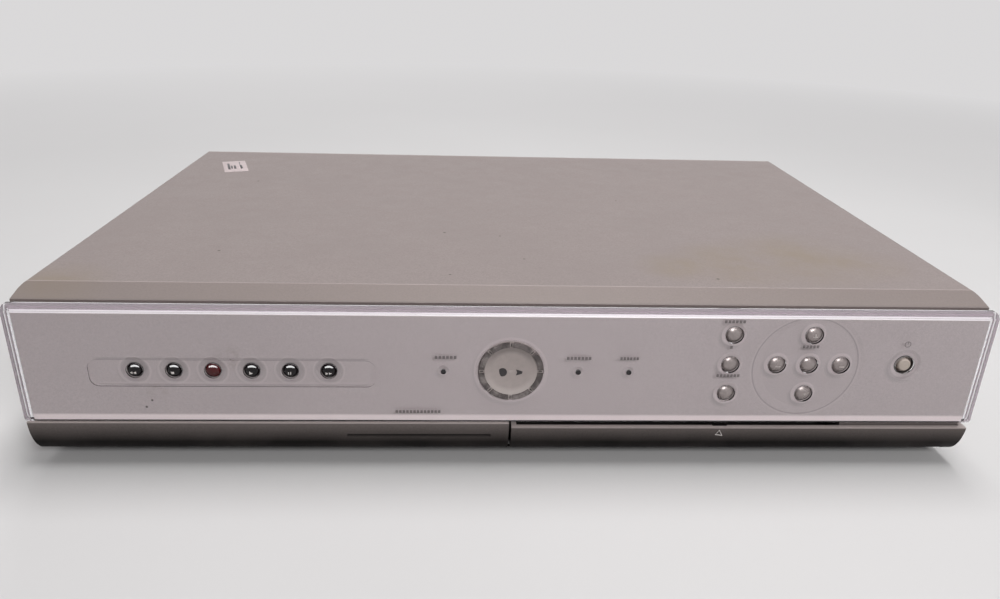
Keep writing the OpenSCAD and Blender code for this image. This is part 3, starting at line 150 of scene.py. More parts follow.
def onFlat(tree, x, z):
    made = tree.nodes.new("ShaderNodeCombineXYZ")
    plug(tree, x, made.inputs["X"])
    plug(tree, z, made.inputs["Z"])
    return made.outputs["Vector"]


def roundSpots(tree, where, places, core):
    # each spot keeps its full strength out to a share of its radius: core
    spots = [spread(tree, distanceTo(tree, where, place), core * r * mm, r * mm, 1.0, 0.0)
             for place, r in places]
    return pick(tree, "MAXIMUM", spots)


def shade(colour, factor):
    return tuple(min(1.0, part * factor) for part in colour)


def tint(tree, base, amount, strength, colour):
    return mix(tree, calc(tree, "MULTIPLY", amount, strength), base, colour)


def blendShaders(tree, fac, first, second):
    made = tree.nodes.new("ShaderNodeMixShader")
    plug(tree, fac, made.inputs["Fac"])
    plug(tree, first, made.inputs[1])
    plug(tree, second, made.inputs[2])
    out = [n for n in tree.nodes if n.type == "OUTPUT_MATERIAL"][0]
    plug(tree, made.outputs["Shader"], out.inputs["Surface"])


# painted cover: grains are in features per metre, places in mm
paint = {
    "colour": (0.272, 0.228, 0.219),
    "stain": (0.250, 0.198, 0.146),
    "slope": (0.200, 0.165, 0.150),
    "dirt": (0.06, 0.045, 0.035),
    "flake": 1500.0,
    "mottle": 26.0,
    "cloud": 42.0,
    "gloss": 90.0,
    "texture": 2200.0,
    "fold": 17.0 * mm,  # distance from the clear face to the fold between slope and top
    "foldHighlight": 1.55,
    "lowerShade": 0.55,
    "rearHighlight": 1.28,
    # across, back from the clear face, radius
    "stains": [(96, 44, 32), (122, 52, 38), (146, 46, 24), (70, 40, 20), (-172, 14, 26)],
    "specks": [(-27.2, 80.9, 0.9), (-2.3, 76.9, 0.7), (6.5, 46.7, 0.7), (-23.7, 27.7, 0.7),
               (-119.5, 52.7, 0.8), (-131.1, 168.4, 0.8), (81.7, 25.9, 0.9), (61.0, 139.0, 0.6)],
}


def topPlaces(key):
    return [((px * mm, frontY + py * mm, coverHigh.z), r) for px, py, r in paint[key]]


def makeCoverPaint():
    made, tree, shader, where = startMaterial("coverPaint")
    y = axesOf(tree, where)[1]
    colour = paint["colour"]
    flake = noiseOn(tree, where, paint["flake"], 2.0, 0.7)
    mottle = noiseOn(tree, where, paint["mottle"], 4.0, 0.6)
    base = mix(tree, spread(tree, flake, 0.30, 0.70), shade(colour, 0.87), shade(colour, 1.13))
    base = mix(tree, spread(tree, mottle, 0.35, 0.65, 0.0, 0.45), base, shade(colour, 0.93))
    cloud = spread(tree, noiseOn(tree, where, paint["cloud"], 6.0, 0.65), 0.32, 0.62, 0.15, 0.65)
    stains = roundSpots(tree, where, topPlaces("stains"), 0.2)
    base = tint(tree, base, cloud, stains, paint["stain"])
    base = tint(tree, base, roundSpots(tree, where, topPlaces("specks"), 0.4), 0.85, paint["dirt"])
    foldY = frontY + paint["fold"]
    # painted shade: the front slope, below the fold, is painted darker
    base = tint(tree, base, spread(tree, y, foldY, foldY - 0.5 * mm), 0.5, paint["slope"])
    # painted highlight along the fold and painted shade along the lower edge of the slope
    onFold = spread(tree, gapFrom(tree, y, foldY), 0.35 * mm, 0.1 * mm)
    foldGlint = spread(tree, mottle, 0.2, 0.6, 0.4, 0.8)
    base = tint(tree, base, onFold, foldGlint, shade(colour, paint["foldHighlight"]))
    lowerEdge = spread(tree, y, coverLow.y + 1.0 * mm, coverLow.y + 0.3 * mm, 0.0, 0.45)
    base = mix(tree, lowerEdge, base, shade(colour, paint["lowerShade"]))
    # painted highlight along the rear edge of the top
    rearEdgeHighlight = spread(tree, y, coverHigh.y - 2.6 * mm, coverHigh.y - 1.8 * mm, 0.0, 0.7)
    base = mix(tree, rearEdgeHighlight, base, shade(colour, paint["rearHighlight"]))
    plug(tree, base, shader.inputs["Base Color"])
    rough = spread(tree, noiseOn(tree, where, paint["gloss"], 3.0), 0.3, 0.7, 0.46, 0.53)
    plug(tree, rough, shader.inputs["Roughness"])
    setSockets(shader, {"Metallic": 0.15, "Specular IOR Level": 0.4})
    addBump(tree, shader, noiseOn(tree, where, paint["texture"], 2.0), 0.12, 0.0002)
    return made


# silver plate behind the clear panel: grains in features per metre, places in mm
plate = {
    "colour": (0.480, 0.416, 0.420),
    "rim": (0.560, 0.492, 0.532),
    "border": (0.480, 0.418, 0.430),
    "paintedLightBand": (0.760, 0.660, 0.660),
    "line": (0.800, 0.760, 0.780),
    "shadow": (0.030, 0.024, 0.022),
    "dirt": (0.05, 0.035, 0.03),
    "stain": (0.20, 0.14, 0.09),
    "flake": 1700.0,
    "mottle": 24.0,
    "cloud": 300.0,
    "bandHeight": 2.5 * mm,
    "flatHalf": 178.0 * mm,
    "lineHeight": 43.5 * mm,
    "lineTop": 43.85 * mm,
    "plateBack": 2.6 * mm,
    "rimFront": 3.4 * mm,
    "spotDepth": 1.5 * mm,
    # across, up, radius
    "specks": [(-133.7, 8.3, 0.55), (-136.1, 5.5, 0.6), (-103.4, 25.2, 0.5)],
    "stains": [(-103.6, 25.5, 7.0), (-131.0, 12.0, 5.0)],
    # edge of the shallow round well in the clear panel: across, up, radius
    "well": (111.2, 23.6, 20.2),
    "channel": (-102.7, 20.1, 103.9, 10.9),  # across, up, width, height
    "lamps": (-25.6, 24.8, 43.9),  # across
    "lampHeight": 21.1 * mm,
}

darkButtons = ["button_" + key for key in ("rewind", "stop", "record", "play", "pause", "forward")]
silverButtons = ["button_" + key for key in
                 ("back", "info", "guide", "up", "left", "select", "right", "down")]


def middleOf(node):
    low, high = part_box(node)
    return ((low.x + high.x) / 2, 0.0, (low.z + high.z) / 2)


def middlesOf(group):
    if group == ["lamps"]:
        return [(across * mm, 0.0, panelZ + plate["lampHeight"]) for across in plate["lamps"]]
    return [middleOf(node) for node in group]


def platePlaces(key):
    spotY = frontY + plate["spotDepth"]
    return [((px * mm, spotY, panelZ + pz * mm), r) for px, pz, r in plate[key]]


def bandOf(tree, value, inner, outer, soft):
    rise = spread(tree, value, (inner - soft) * mm, inner * mm)
    return calc(tree, "MULTIPLY", rise, spread(tree, value, outer * mm, (outer + soft) * mm, 1.0, 0.0))


# painted shade and light in rings round the buttons, the display and the lamps: node group, inner and
# outer radius, soft edge, factor, strength
plateShades = [
    (darkButtons, 3.4, 5.2, 0.4, 0.82, 0.55), (darkButtons, 5.4, 5.9, 0.2, 1.22, 0.50),
    (silverButtons, 3.6, 4.7, 0.3, 1.35, 0.60), (["button_standby"], 3.9, 5.2, 0.5, 1.30, 0.50),
    (["display_ring"], 12.3, 13.6, 0.5, 1.35, 0.65), (["lamps"], 1.0, 1.9, 0.3, 1.30, 0.60),
]
# soft shadows at the lower left of the dishes: node group, shift, radius, strength
plateShadows = [
    (darkButtons, 1.0, 5.6, 0.45), (silverButtons, 1.1, 4.9, 0.80), (["button_standby"], 1.3, 6.2, 0.70),
    (["display_ring"], 0.9, 13.9, 0.40), (["lamps"], 0.9, 2.1, 0.60),
]
# painted shadow in the holes round the buttons, where their walls are in shade: node group, radius
plateHoles = [(darkButtons, 3.25), (silverButtons, 3.55), (["button_standby"], 4.05)]
# painted shade and light lines along the round well's edge: start and end from its radius, factor,
# strength
wellLines = [(-0.1, 0.1, 0.50, 0.55), (0.5, 0.8, 1.15, 0.5)]


def shadeButtons(tree, flat, base):
    colour = plate["colour"]
    gaps = {}
    for group in [entry[0] for entry in plateShades]:
        if group[0] not in gaps:
            gaps[group[0]] = gapTo(tree, flat, middlesOf(group))
    for group, shift, radius, strength in plateShadows:
        moved = [(px - shift * mm, py, pz - shift * mm) for px, py, pz in middlesOf(group)]
        shadow = gapTo(tree, flat, moved)
        amount = spread(tree, shadow, (radius - 1.2) * mm, (radius + 0.4) * mm, strength, 0.0)
        base = mix(tree, amount, base, shade(colour, 0.72))
    for group, inner, outer, soft, factor, strength in plateShades:
        ring = bandOf(tree, gaps[group[0]], inner, outer, soft)
        base = tint(tree, base, ring, strength, shade(colour, factor))
    return base, gaps


def shadeWell(tree, flat, base):
    across, high, radius = plate["well"]
    gap = gapTo(tree, flat, [(across * mm, 0.0, panelZ + high * mm)])
    for inner, outer, factor, strength in wellLines:
        ring = bandOf(tree, gap, radius + inner, radius + outer, 0.25)
        base = tint(tree, base, ring, strength, shade(plate["colour"], factor))
    return base


def shadeChannel(tree, x, z, base):
    across, high, width, height = plate["channel"]
    aside = gapFrom(tree, x, across * mm)
    inside = spread(tree, aside, (width / 2 - 4.0) * mm, (width / 2 - 2.0) * mm, 1.0, 0.0)
    above = calc(tree, "SUBTRACT", z, panelZ + high * mm)
    # painted shade and light along the channel's edges: height from the channel's middle, factor,
    # strength
    edges = ((height / 2, 0.62, 0.65), (0.8 - height / 2, 1.15, 0.5), (-height / 2, 0.78, 0.5))
    for level, factor, strength in edges:
        line = spread(tree, gapFrom(tree, above, level * mm), 0.2 * mm, 0.6 * mm, strength, 0.0)
        base = tint(tree, base, line, inside, shade(plate["colour"], factor))
    return base


def shadeRound(tree, x, z, base):
    flat = onFlat(tree, x, z)
    base, gaps = shadeButtons(tree, flat, base)
    base = shadeWell(tree, flat, base)
    base = shadeChannel(tree, x, z, base)
    for group, radius in plateHoles:
        hole = spread(tree, gaps[group[0]], (radius - 0.1) * mm, (radius + 0.1) * mm, 1.0, 0.0)
        base = mix(tree, hole, base, plate["shadow"])
    return base


def makeSilverPlate():
    made, tree, shader, where = startMaterial("silverPlate")
    x, y, z = axesOf(tree, where)
    colour = plate["colour"]
    aside = calc(tree, "ABSOLUTE", x)
    flake = noiseOn(tree, where, plate["flake"], 2.0, 0.7)
    mottle = noiseOn(tree, where, plate["mottle"], 4.0, 0.6)
    base = mix(tree, spread(tree, flake, 0.30, 0.70), shade(colour, 0.90), shade(colour, 1.10))
    base = mix(tree, spread(tree, mottle, 0.35, 0.65, 0.0, 0.4), base, shade(colour, 0.94))
    # painted light: the middle of the plate is lighter
    middle = spread(tree, aside, 30.0 * mm, 110.0 * mm, 0.5, 0.0)
    base = mix(tree, middle, base, shade(colour, 1.14))
    stains = roundSpots(tree, where, platePlaces("stains"), 0.2)
    cloud = spread(tree, noiseOn(tree, where, plate["cloud"], 5.0, 0.7), 0.45, 0.75, 0.0, 0.6)
    base = tint(tree, base, stains, cloud, plate["stain"])
    specks = roundSpots(tree, where, platePlaces("specks"), 0.5)
    base = mix(tree, specks, base, plate["dirt"])
    base = shadeRound(tree, x, z, base)
    # painted light along the bottom of the plate, for the light seen through the clear panel's lower
    # edge
    bandTop = panelZ + plate["bandHeight"]
    paintedLightBand = spread(tree, z, bandTop + 0.3 * mm, bandTop - 0.5 * mm)
    base = mix(tree, paintedLightBand, base, plate["paintedLightBand"])
    ends = spread(tree, aside, plate["flatHalf"], plate["flatHalf"] + 0.2 * mm)
    base = mix(tree, ends, base, plate["border"])
    # painted highlight along the top of the plate as a bright line, and the rim above and behind it
    lineLow = panelZ + plate["lineHeight"]
    lineHigh = panelZ + plate["lineTop"]
    plateY = frontY + plate["plateBack"]
    rimY = frontY + plate["rimFront"]
    line = spread(tree, z, lineLow, lineLow + 0.1 * mm)
    onPlate = spread(tree, y, plateY, plateY - 0.1 * mm)
    base = tint(tree, base, line, onPlate, plate["line"])
    base = mix(tree, spread(tree, z, lineHigh, lineHigh + 0.1 * mm), base, plate["rim"])
    base = mix(tree, spread(tree, y, rimY - 0.1 * mm, rimY), base, plate["rim"])
    plug(tree, base, shader.inputs["Base Color"])
    setSockets(shader, {"Metallic": 0.1, "Roughness": 0.5, "Specular IOR Level": 0.4})
    return made


def makeClearAcrylic():
    made, tree, shader, where = startMaterial("clearAcrylic")
    setSockets(shader, {"Base Color": (0.97, 0.965, 0.985, 1.0), "Roughness": 0.03, "IOR": 1.49,
                        "Transmission Weight": 1.0})
    straight = tree.nodes.new("ShaderNodeBsdfTransparent")
    path = tree.nodes.new("ShaderNodeLightPath")
    # light goes straight through, and so does what is mirrored by the pieces behind the panel
    returning = spread(tree, path.outputs["Transmission Depth"], 1.4, 1.6)
    kinds = [path.outputs["Is Shadow Ray"], path.outputs["Is Diffuse Ray"], returning]
    passes = pick(tree, "MAXIMUM", kinds)
    blendShaders(tree, passes, shader.outputs["BSDF"], straight.outputs["BSDF"])
    scuff = noiseOn(tree, where, 40.0, 4.0, 0.6)
    plug(tree, spread(tree, scuff, 0.4, 0.7, 0.0, 0.02), shader.inputs["Roughness"])
    return made


# plastics, metals and boards that differ in a few numbers only:
# colour, how much the grain changes it, grain size, roughness, metallic, bump
plainFinishes = {
    "pinSteel": ((0.16, 0.16, 0.16), 0.05, 900.0, (0.40, 0.50), 0.8, 0.05),
    "darkDome": ((0.006, 0.004, 0.005), 0.20, 500.0, (0.04, 0.10), 0.0, 0.0),
    "redDome": ((0.070, 0.008, 0.009), 0.20, 500.0, (0.04, 0.10), 0.0, 0.0),
    "silverDome": ((0.335, 0.292, 0.285), 0.08, 1500.0, (0.22, 0.32), 0.55, 0.06),
    "standbyCap": ((0.55, 0.475, 0.42), 0.05, 900.0, (0.40, 0.50), 0.0, 0.10),
    "lightPipe": ((0.010, 0.008, 0.010), 0.10, 500.0, (0.08, 0.12), 0.0, 0.0),
    "blackMoulding": ((0.022, 0.021, 0.022), 0.20, 1200.0, (0.45, 0.60), 0.0, 0.25),
    "chipBlack": ((0.018, 0.018, 0.019), 0.15, 1500.0, (0.50, 0.62), 0.0, 0.20),
    "blackAluminium": ((0.030, 0.030, 0.033), 0.15, 800.0, (0.35, 0.50), 0.6, 0.10),
    "nickelPlate": ((0.62, 0.58, 0.50), 0.06, 400.0, (0.16, 0.28), 1.0, 0.05),
    "ferriteCore": ((0.040, 0.038, 0.038), 0.25, 900.0, (0.60, 0.80), 0.1, 0.40),
    "capacitorSleeve": ((0.020, 0.030, 0.120), 0.10, 300.0, (0.25, 0.35), 0.0, 0.05),
    "extrudedAluminium": ((0.62, 0.63, 0.64), 0.06, 900.0, (0.30, 0.42), 1.0, 0.08),
    "diskCasting": ((0.45, 0.46, 0.47), 0.10, 1400.0, (0.38, 0.52), 0.9, 0.25),
    "ribbonGrey": ((0.42, 0.43, 0.44), 0.05, 600.0, (0.35, 0.45), 0.0, 0.10),
    "footRubber": ((0.020, 0.020, 0.020), 0.25, 900.0, (0.70, 0.85), 0.0, 0.40),
    "screwZinc": ((0.50, 0.50, 0.48), 0.10, 700.0, (0.25, 0.40), 1.0, 0.10),
    "markPrint": ((0.190, 0.165, 0.168), 0.10, 900.0, (0.45, 0.55), 0.0, 0.05),
    "markLight": ((0.85, 0.80, 0.78), 0.06, 900.0, (0.40, 0.50), 0.0, 0.05),
    "markSilverHighlight": ((0.500, 0.450, 0.440), 0.06, 900.0, (0.30, 0.40), 0.2, 0.05),
    "markDark": ((0.035, 0.030, 0.032), 0.15, 900.0, (0.30, 0.40), 0.0, 0.05),
    "stickerPaper": ((0.53, 0.45, 0.45), 0.06, 500.0, (0.55, 0.70), 0.0, 0.10),
    "redRing": ((0.420, 0.020, 0.018), 0.08, 700.0, (0.30, 0.40), 0.0, 0.05),
    "whiteRing": ((0.700, 0.690, 0.660), 0.04, 700.0, (0.30, 0.40), 0.0, 0.05),
    "brassPin": ((0.640, 0.480, 0.200), 0.06, 500.0, (0.18, 0.30), 1.0, 0.05),
    "slotShadow": ((0.012, 0.012, 0.012), 0.10, 900.0, (0.60, 0.70), 0.0, 0.10),
}


def makePlain(name):
    colour, grain, size, rough, metallic, bump = plainFinishes[name]
    made, tree, shader, where = startMaterial(name)
    fine = noiseOn(tree, where, size, 3.0, 0.6)
    broad = noiseOn(tree, where, size / 25.0, 3.0, 0.6)
    low = shade(colour, 1.0 - grain)
    high = shade(colour, 1.0 + grain)
    base = mix(tree, spread(tree, fine, 0.3, 0.7), low, high)
    dull = shade(colour, 1.0 - 0.8 * grain)
    base = mix(tree, spread(tree, broad, 0.4, 0.7, 0.0, 0.35), base, dull)
    plug(tree, base, shader.inputs["Base Color"])
    plug(tree, spread(tree, broad, 0.3, 0.7, *rough), shader.inputs["Roughness"])
    setSockets(shader, {"Metallic": metallic})
    if bump:
        addBump(tree, shader, fine, bump, 0.0002)
    if name in ("darkDome", "redDome"):
        setSockets(shader, {"Specular IOR Level": 0.25, "Coat Weight": 0.1, "Coat Roughness": 0.03})
    return made


# silver moulding of the strip: painted highlight along its top edge and painted shade darkening it
# towards its lower edge
trim = {
    "upper": (0.190, 0.165, 0.159),
    "lower": (0.009, 0.0078, 0.0075),
    "edge": (0.460, 0.400, 0.390),
    "edgeHeight": 0.5 * mm,
    "stripTop": 1.0 * mm,  # top edges of the strip and of the flap below the clear panel
    "flapTop": 2.9 * mm,
    "shadeFade": 9.8 * mm,
}


def makeTrim(name, topKey):
    made, tree, shader, where = startMaterial(name)
    z = axesOf(tree, where)[2]
    top = panelZ - trim[topKey]
    down = calc(tree, "SUBTRACT", panelZ - trim["stripTop"], z)
    shadeFade = spread(tree, down, 1.2 * mm, trim["shadeFade"])
    base = mix(tree, shadeFade, trim["upper"], trim["lower"])
    grain = noiseOn(tree, where, 1600.0, 3.0, 0.7)
    cloud = noiseOn(tree, where, 35.0, 3.0)
    base = mix(tree, spread(tree, grain, 0.3, 0.7, 0.0, 0.22), base, trim["lower"])
    base = mix(tree, spread(tree, cloud, 0.4, 0.7, 0.0, 0.15), base, trim["upper"])
    edgeHighlight = spread(tree, z, top - trim["edgeHeight"], top - 0.7 * trim["edgeHeight"])
    base = mix(tree, edgeHighlight, base, trim["edge"])
    # painted shadow above the strip's top edge
    over = spread(tree, z, top + 0.02 * mm, top + 0.06 * mm)
    base = mix(tree, over, base, trim["lower"])
    plug(tree, base, shader.inputs["Base Color"])
    plug(tree, spread(tree, grain, 0.3, 0.7, 0.42, 0.55), shader.inputs["Roughness"])
    setSockets(shader, {"Specular IOR Level": 0.04})
    addBump(tree, shader, grain, 0.1, 0.0002)
    return made


# display: segments mottled between dark and light, a disc with painted light along its lower rim and
# painted shade along its upper rim
tones = {
    "segmentDark": (0.080, 0.065, 0.064),
    "segmentLight": (0.285, 0.248, 0.242),
    "disc": (0.440, 0.382, 0.368),
    "rim": (0.560, 0.500, 0.480),
    "shadow": (0.170, 0.148, 0.142),
}


def makeSegments():
    made, tree, shader, where = startMaterial("displaySegment")
    cloud = noiseOn(tree, where, 190.0, 4.0, 0.6)
    fine = noiseOn(tree, where, 1500.0, 2.0, 0.6)
    dark = tones["segmentDark"]
    base = mix(tree, spread(tree, cloud, 0.42, 0.66), dark, tones["segmentLight"])
    base = mix(tree, spread(tree, fine, 0.3, 0.7, 0.0, 0.3), base, dark)
    plug(tree, base, shader.inputs["Base Color"])
    plug(tree, spread(tree, cloud, 0.3, 0.7, 0.18, 0.32), shader.inputs["Roughness"])
    return made


def makeDisc():
    made, tree, shader, where = startMaterial("displayDisc")
    x, _, z = axesOf(tree, where)
    middle = middleOf("display_ring")
    gap = distanceTo(tree, onFlat(tree, x, z), middle)
    fine = noiseOn(tree, where, 500.0, 2.0, 0.5)
    disc = tones["disc"]
    base = mix(tree, spread(tree, fine, 0.3, 0.7), shade(disc, 0.96), shade(disc, 1.04))
    litLowSide = spread(tree, z, middle[2] + 1.0 * mm, middle[2] - 7.0 * mm, 0.0, 0.8)
    shadedHighSide = spread(tree, z, middle[2] + 1.0 * mm, middle[2] + 8.0 * mm, 0.0, 0.6)
    nearRim = bandOf(tree, gap, 8.6, 9.9, 1.6)
    # painted light along the lower rim and painted shade along the upper rim
    base = tint(tree, base, nearRim, litLowSide, tones["rim"])
    base = tint(tree, base, nearRim, shadedHighSide, tones["shadow"])
    plug(tree, base, shader.inputs["Base Color"])
    plug(tree, spread(tree, fine, 0.3, 0.7, 0.34, 0.42), shader.inputs["Roughness"])
    setSockets(shader, {"Metallic": 0.1})
    return made


def makeBrushedSteel(name, colour, along):
    made, tree, shader, where = startMaterial(name)
    lines = noiseOn(tree, where, 300.0, 4.0, 0.6, along)
    spangle = tree.nodes.new("ShaderNodeTexVoronoi")
    spangle.inputs["Scale"].default_value = 140.0
    plug(tree, where, spangle.inputs["Vector"])
    base = mix(tree, spread(tree, lines, 0.3, 0.7), shade(colour, 0.85), shade(colour, 1.12))
    flower = spread(tree, spangle.outputs["Distance"], 0.0, 0.8, 0.0, 0.25)
    base = mix(tree, flower, base, shade(colour, 0.8))
    plug(tree, base, shader.inputs["Base Color"])
    plug(tree, spread(tree, lines, 0.3, 0.7, 0.28, 0.42), shader.inputs["Roughness"])
    setSockets(shader, {"Metallic": 0.9})
    addBump(tree, shader, lines, 0.08, 0.0002)
    return made


def makeBoard(name, colour, track):
    made, tree, shader, where = startMaterial(name)
    cells = tree.nodes.new("ShaderNodeTexBrick")
    setSockets(cells, {"Scale": 220.0, "Mortar Size": 0.06})
    plug(tree, where, cells.inputs["Vector"])
    patch = noiseOn(tree, where, 60.0, 2.0)
    masked = calc(tree, "MULTIPLY", cells.outputs["Fac"], spread(tree, patch, 0.45, 0.55))
    base = mix(tree, masked, colour, track)
    weave = spread(tree, noiseOn(tree, where, 400.0), 0.3, 0.7, 0.0, 0.3)
    base = mix(tree, weave, base, shade(colour, 0.7))
    plug(tree, base, shader.inputs["Base Color"])
    setSockets(shader, {"Roughness": 0.3})
    return made


finishes = {
    "coverPaint": makeCoverPaint(),
    "silverPlate": makeSilverPlate(),
    "clearAcrylic": makeClearAcrylic(),
    "trimPlastic": makeTrim("trimPlastic", "stripTop"),
    "flapPlastic": makeTrim("flapPlastic", "flapTop"),
    "displaySegment": makeSegments(),
    "displayDisc": makeDisc(),
    "bareSteel": makeBrushedSteel("bareSteel", (0.50, 0.50, 0.50), (1.0, 8.0, 8.0)),
    "tinnedCan": makeBrushedSteel("tinnedCan", (0.62, 0.62, 0.62), (6.0, 1.0, 6.0)),
    "greenBoard": makeBoard("greenBoard", (0.020, 0.110, 0.050), (0.050, 0.200, 0.080)),
    "brownBoard": makeBoard("brownBoard", (0.260, 0.180, 0.080), (0.160, 0.100, 0.040)),
}
for finishName in plainFinishes:
    finishes[finishName] = makePlain(finishName)
print("materials made:", len(finishes))

nodeFinish = {
    "top_cover": "coverPaint", "chassis_base": "bareSteel", "rear_panel": "bareSteel",
    "front_fascia": "silverPlate", "front_lens": "clearAcrylic", "lower_trim": "trimPlastic",
    "card_flap": "flapPlastic", "flap_pins": "pinSteel", "button_standby": "standbyCap",
    "button_record": "redDome", "display_ring": "displaySegment", "display_lens": "displayDisc",
    "light_pipes": "lightPipe", "front_board": "greenBoard", "tact_switches": "blackMoulding",
    "main_board": "greenBoard", "board_chips": "chipBlack", "chip_heat_sink": "blackAluminium",
    "tuner_modules": "tinnedCan", "power_board": "brownBoard", "transformer": "ferriteCore",
    "capacitors": "capacitorSleeve", "power_heat_sinks": "extrudedAluminium",
    "hard_disk": "diskCasting", "disk_bracket": "bareSteel", "ribbon_cables": "ribbonGrey",
    "card_reader_left": "blackMoulding", "card_reader_right": "blackMoulding",
    "fan_frame": "blackMoulding", "fan_rotor": "blackMoulding", "lnb_connectors": "nickelPlate",
    "rf_sockets": "tinnedCan", "scart_sockets": "blackMoulding", "phono_sockets": "nickelPlate",
    "s_video_socket": "blackMoulding", "optical_socket": "blackMoulding",
    "serial_socket": "tinnedCan", "phone_socket": "blackMoulding", "mains_inlet": "blackMoulding",
    "feet": "footRubber", "cover_screws": "screwZinc", "rear_screws": "screwZinc",
    "board_screws": "screwZinc",
}
for nodeName in darkButtons:
    nodeFinish.setdefault(nodeName, "darkDome")  # the record button keeps its red
for nodeName in silverButtons:
    nodeFinish[nodeName] = "silverDome"

smoothAngle = math.radians(32)
for nodeName, finishName in nodeFinish.items():
    node = cadNodes[nodeName]
    node.data.materials.clear()
    node.data.materials.append(finishes[finishName])
print("CAD nodes dressed:", len(nodeFinish))


# helpers for the added pieces

def dropSelection():
    bpy.ops.object.select_all(action="DESELECT")


def settle(piece, finish, body="housing"):
    dropSelection()
    piece.select_set(True)
    bpy.context.view_layer.objects.active = piece
    bpy.ops.object.transform_apply(location=True, rotation=True, scale=True)
    piece.data.materials.clear()
    piece.data.materials.append(finishes[finish])
    bpy.ops.object.shade_smooth_by_angle(angle=smoothAngle)
    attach(piece, body)
    dropSelection()


def inEdit(work):
    bpy.ops.object.mode_set(mode="EDIT")
    bpy.ops.mesh.select_all(action="SELECT")
    work()
    bpy.ops.object.mode_set(mode="OBJECT")


def inMetres(size):
    return [part * mm for part in size]


def startBar(place, size, bevel, turn=(0.0, 0.0, 0.0)):
    dropSelection()
    bpy.ops.mesh.primitive_cube_add(size=1.0, location=place)
    piece = bpy.context.object
    piece.scale = size
    bpy.ops.object.transform_apply(location=False, rotation=False, scale=True)
    inEdit(lambda: bpy.ops.mesh.bevel(offset=bevel, segments=2, affect="EDGES"))
    piece.rotation_euler = turn
    return piece


def joinPieces(name, parts):
    dropSelection()
    for part in parts:
        part.select_set(True)
    bpy.context.view_layer.objects.active = parts[0]
    bpy.ops.object.transform_apply(location=True, rotation=True, scale=True)
    if len(parts) > 1:
        bpy.ops.object.join()
    parts[0].name = name
    return parts[0]


facingFront = (math.pi / 2, 0.0, 0.0)  # lays a round piece's axis from front to back


def startRound(place, radius, depth, sides, bevel=0.0):
    dropSelection()
    bpy.ops.mesh.primitive_cylinder_add(vertices=sides, radius=radius, depth=depth, location=place,
                                        rotation=facingFront)
    piece = bpy.context.object
    if bevel:
        bpy.ops.object.mode_set(mode="EDIT")
        mesh = bmesh.from_edit_mesh(piece.data)
        for edge in mesh.edges:
            edge.select = abs(edge.verts[0].co.z - edge.verts[1].co.z) < 1e-6
        bmesh.update_edit_mesh(piece.data)
        bpy.ops.mesh.bevel(offset=bevel, segments=2, affect="EDGES")
        bpy.ops.object.mode_set(mode="OBJECT")
    return piece


def startRing(place, radius, thickness, sides, flatten):
    dropSelection()
    bpy.ops.mesh.primitive_torus_add(major_segments=sides, minor_segments=8, major_radius=radius,
                                     minor_radius=thickness, location=place, rotation=facingFront)
    piece = bpy.context.object
    if flatten != 1.0:
        inEdit(lambda: bpy.ops.transform.resize(value=(1.0, flatten, 1.0), center_override=tuple(place)))
    return piece


def onFront(x, z, y=0.0):
    return Vector((x * mm, frontY + y * mm, panelZ + z * mm))


# raised marks on the domes: a sphere over the dome, cut down to the outline of the mark

domeMarks = {
    "darkRadius": 3.0 * mm,
    "silverRadius": 3.57 * mm,
    "lift": 0.1 * mm,
    "depth": 0.35 * mm,  # how far the marks reach in from the top of the dome
    "rise": 0.5,  # how far the outlines are moved up, in mm
    # outlines in mm from the dome's middle, counted anticlockwise seen from the front
    "button_rewind": [[(-1.15, -0.85), (-0.2, -1.35), (-0.2, -0.35)],
                      [(0.0, -0.85), (0.95, -1.35), (0.95, -0.35)]],
    "button_stop": [[(-0.55, -1.3), (0.55, -1.3), (0.55, -0.4), (-0.55, -0.4)]],
    "button_play": [[(-0.5, -1.4), (0.65, -0.85), (-0.5, -0.3)]],
    "button_pause": [[(-0.6, -1.35), (-0.2, -1.35), (-0.2, -0.35), (-0.6, -0.35)],
                     [(0.2, -1.35), (0.6, -1.35), (0.6, -0.35), (0.2, -0.35)]],
    "button_forward": [[(-0.95, -1.35), (0.0, -0.85), (-0.95, -0.35)],
                       [(0.2, -1.35), (1.15, -0.85), (0.2, -0.35)]],
    "button_left": [[(-1.0, -0.95), (1.0, -0.95), (1.0, -0.5), (-1.0, -0.5)]],
    "button_right": [[(-1.0, -0.95), (1.0, -0.95), (1.0, -0.5), (-1.0, -0.5)]],
    "button_up": [[(-0.9, -0.95), (0.9, -0.95), (0.9, -0.55), (-0.9, -0.55)],
                  [(-0.2, -0.5), (0.2, -0.5), (0.2, 0.5), (-0.2, 0.5)]],
    "button_down": [[(-0.6, 0.1), (0.0, -0.7), (0.6, 0.1)]],
}


def cutPatch(node, radius, outline):
    low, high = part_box(node)
    middle = Vector(((low.x + high.x) / 2, low.y + radius, (low.z + high.z) / 2))
    dropSelection()
    bpy.ops.mesh.primitive_uv_sphere_add(segments=72, ring_count=40, radius=radius + domeMarks["lift"],
                                         location=middle)
    bpy.ops.object.transform_apply(location=True)
    patch = bpy.context.object
    corners = [middle + Vector((x * mm, 0.0, (z + domeMarks["rise"]) * mm)) for x, z in outline]
    cuts = [(middle + Vector((0.0, domeMarks["depth"] - radius, 0.0)), Vector((0.0, 1.0, 0.0)))]
    for first, second in zip(corners, corners[1:] + corners[:1]):
        along = second - first
        cuts.append((first, Vector((along.z, 0.0, -along.x)).normalized()))
    bpy.ops.object.mode_set(mode="EDIT")
    for point, normal in cuts:
        bpy.ops.mesh.select_all(action="SELECT")
        bpy.ops.mesh.bisect(plane_co=point, plane_no=normal, use_fill=True, clear_outer=True)
    bpy.ops.object.mode_set(mode="OBJECT")
    return patch


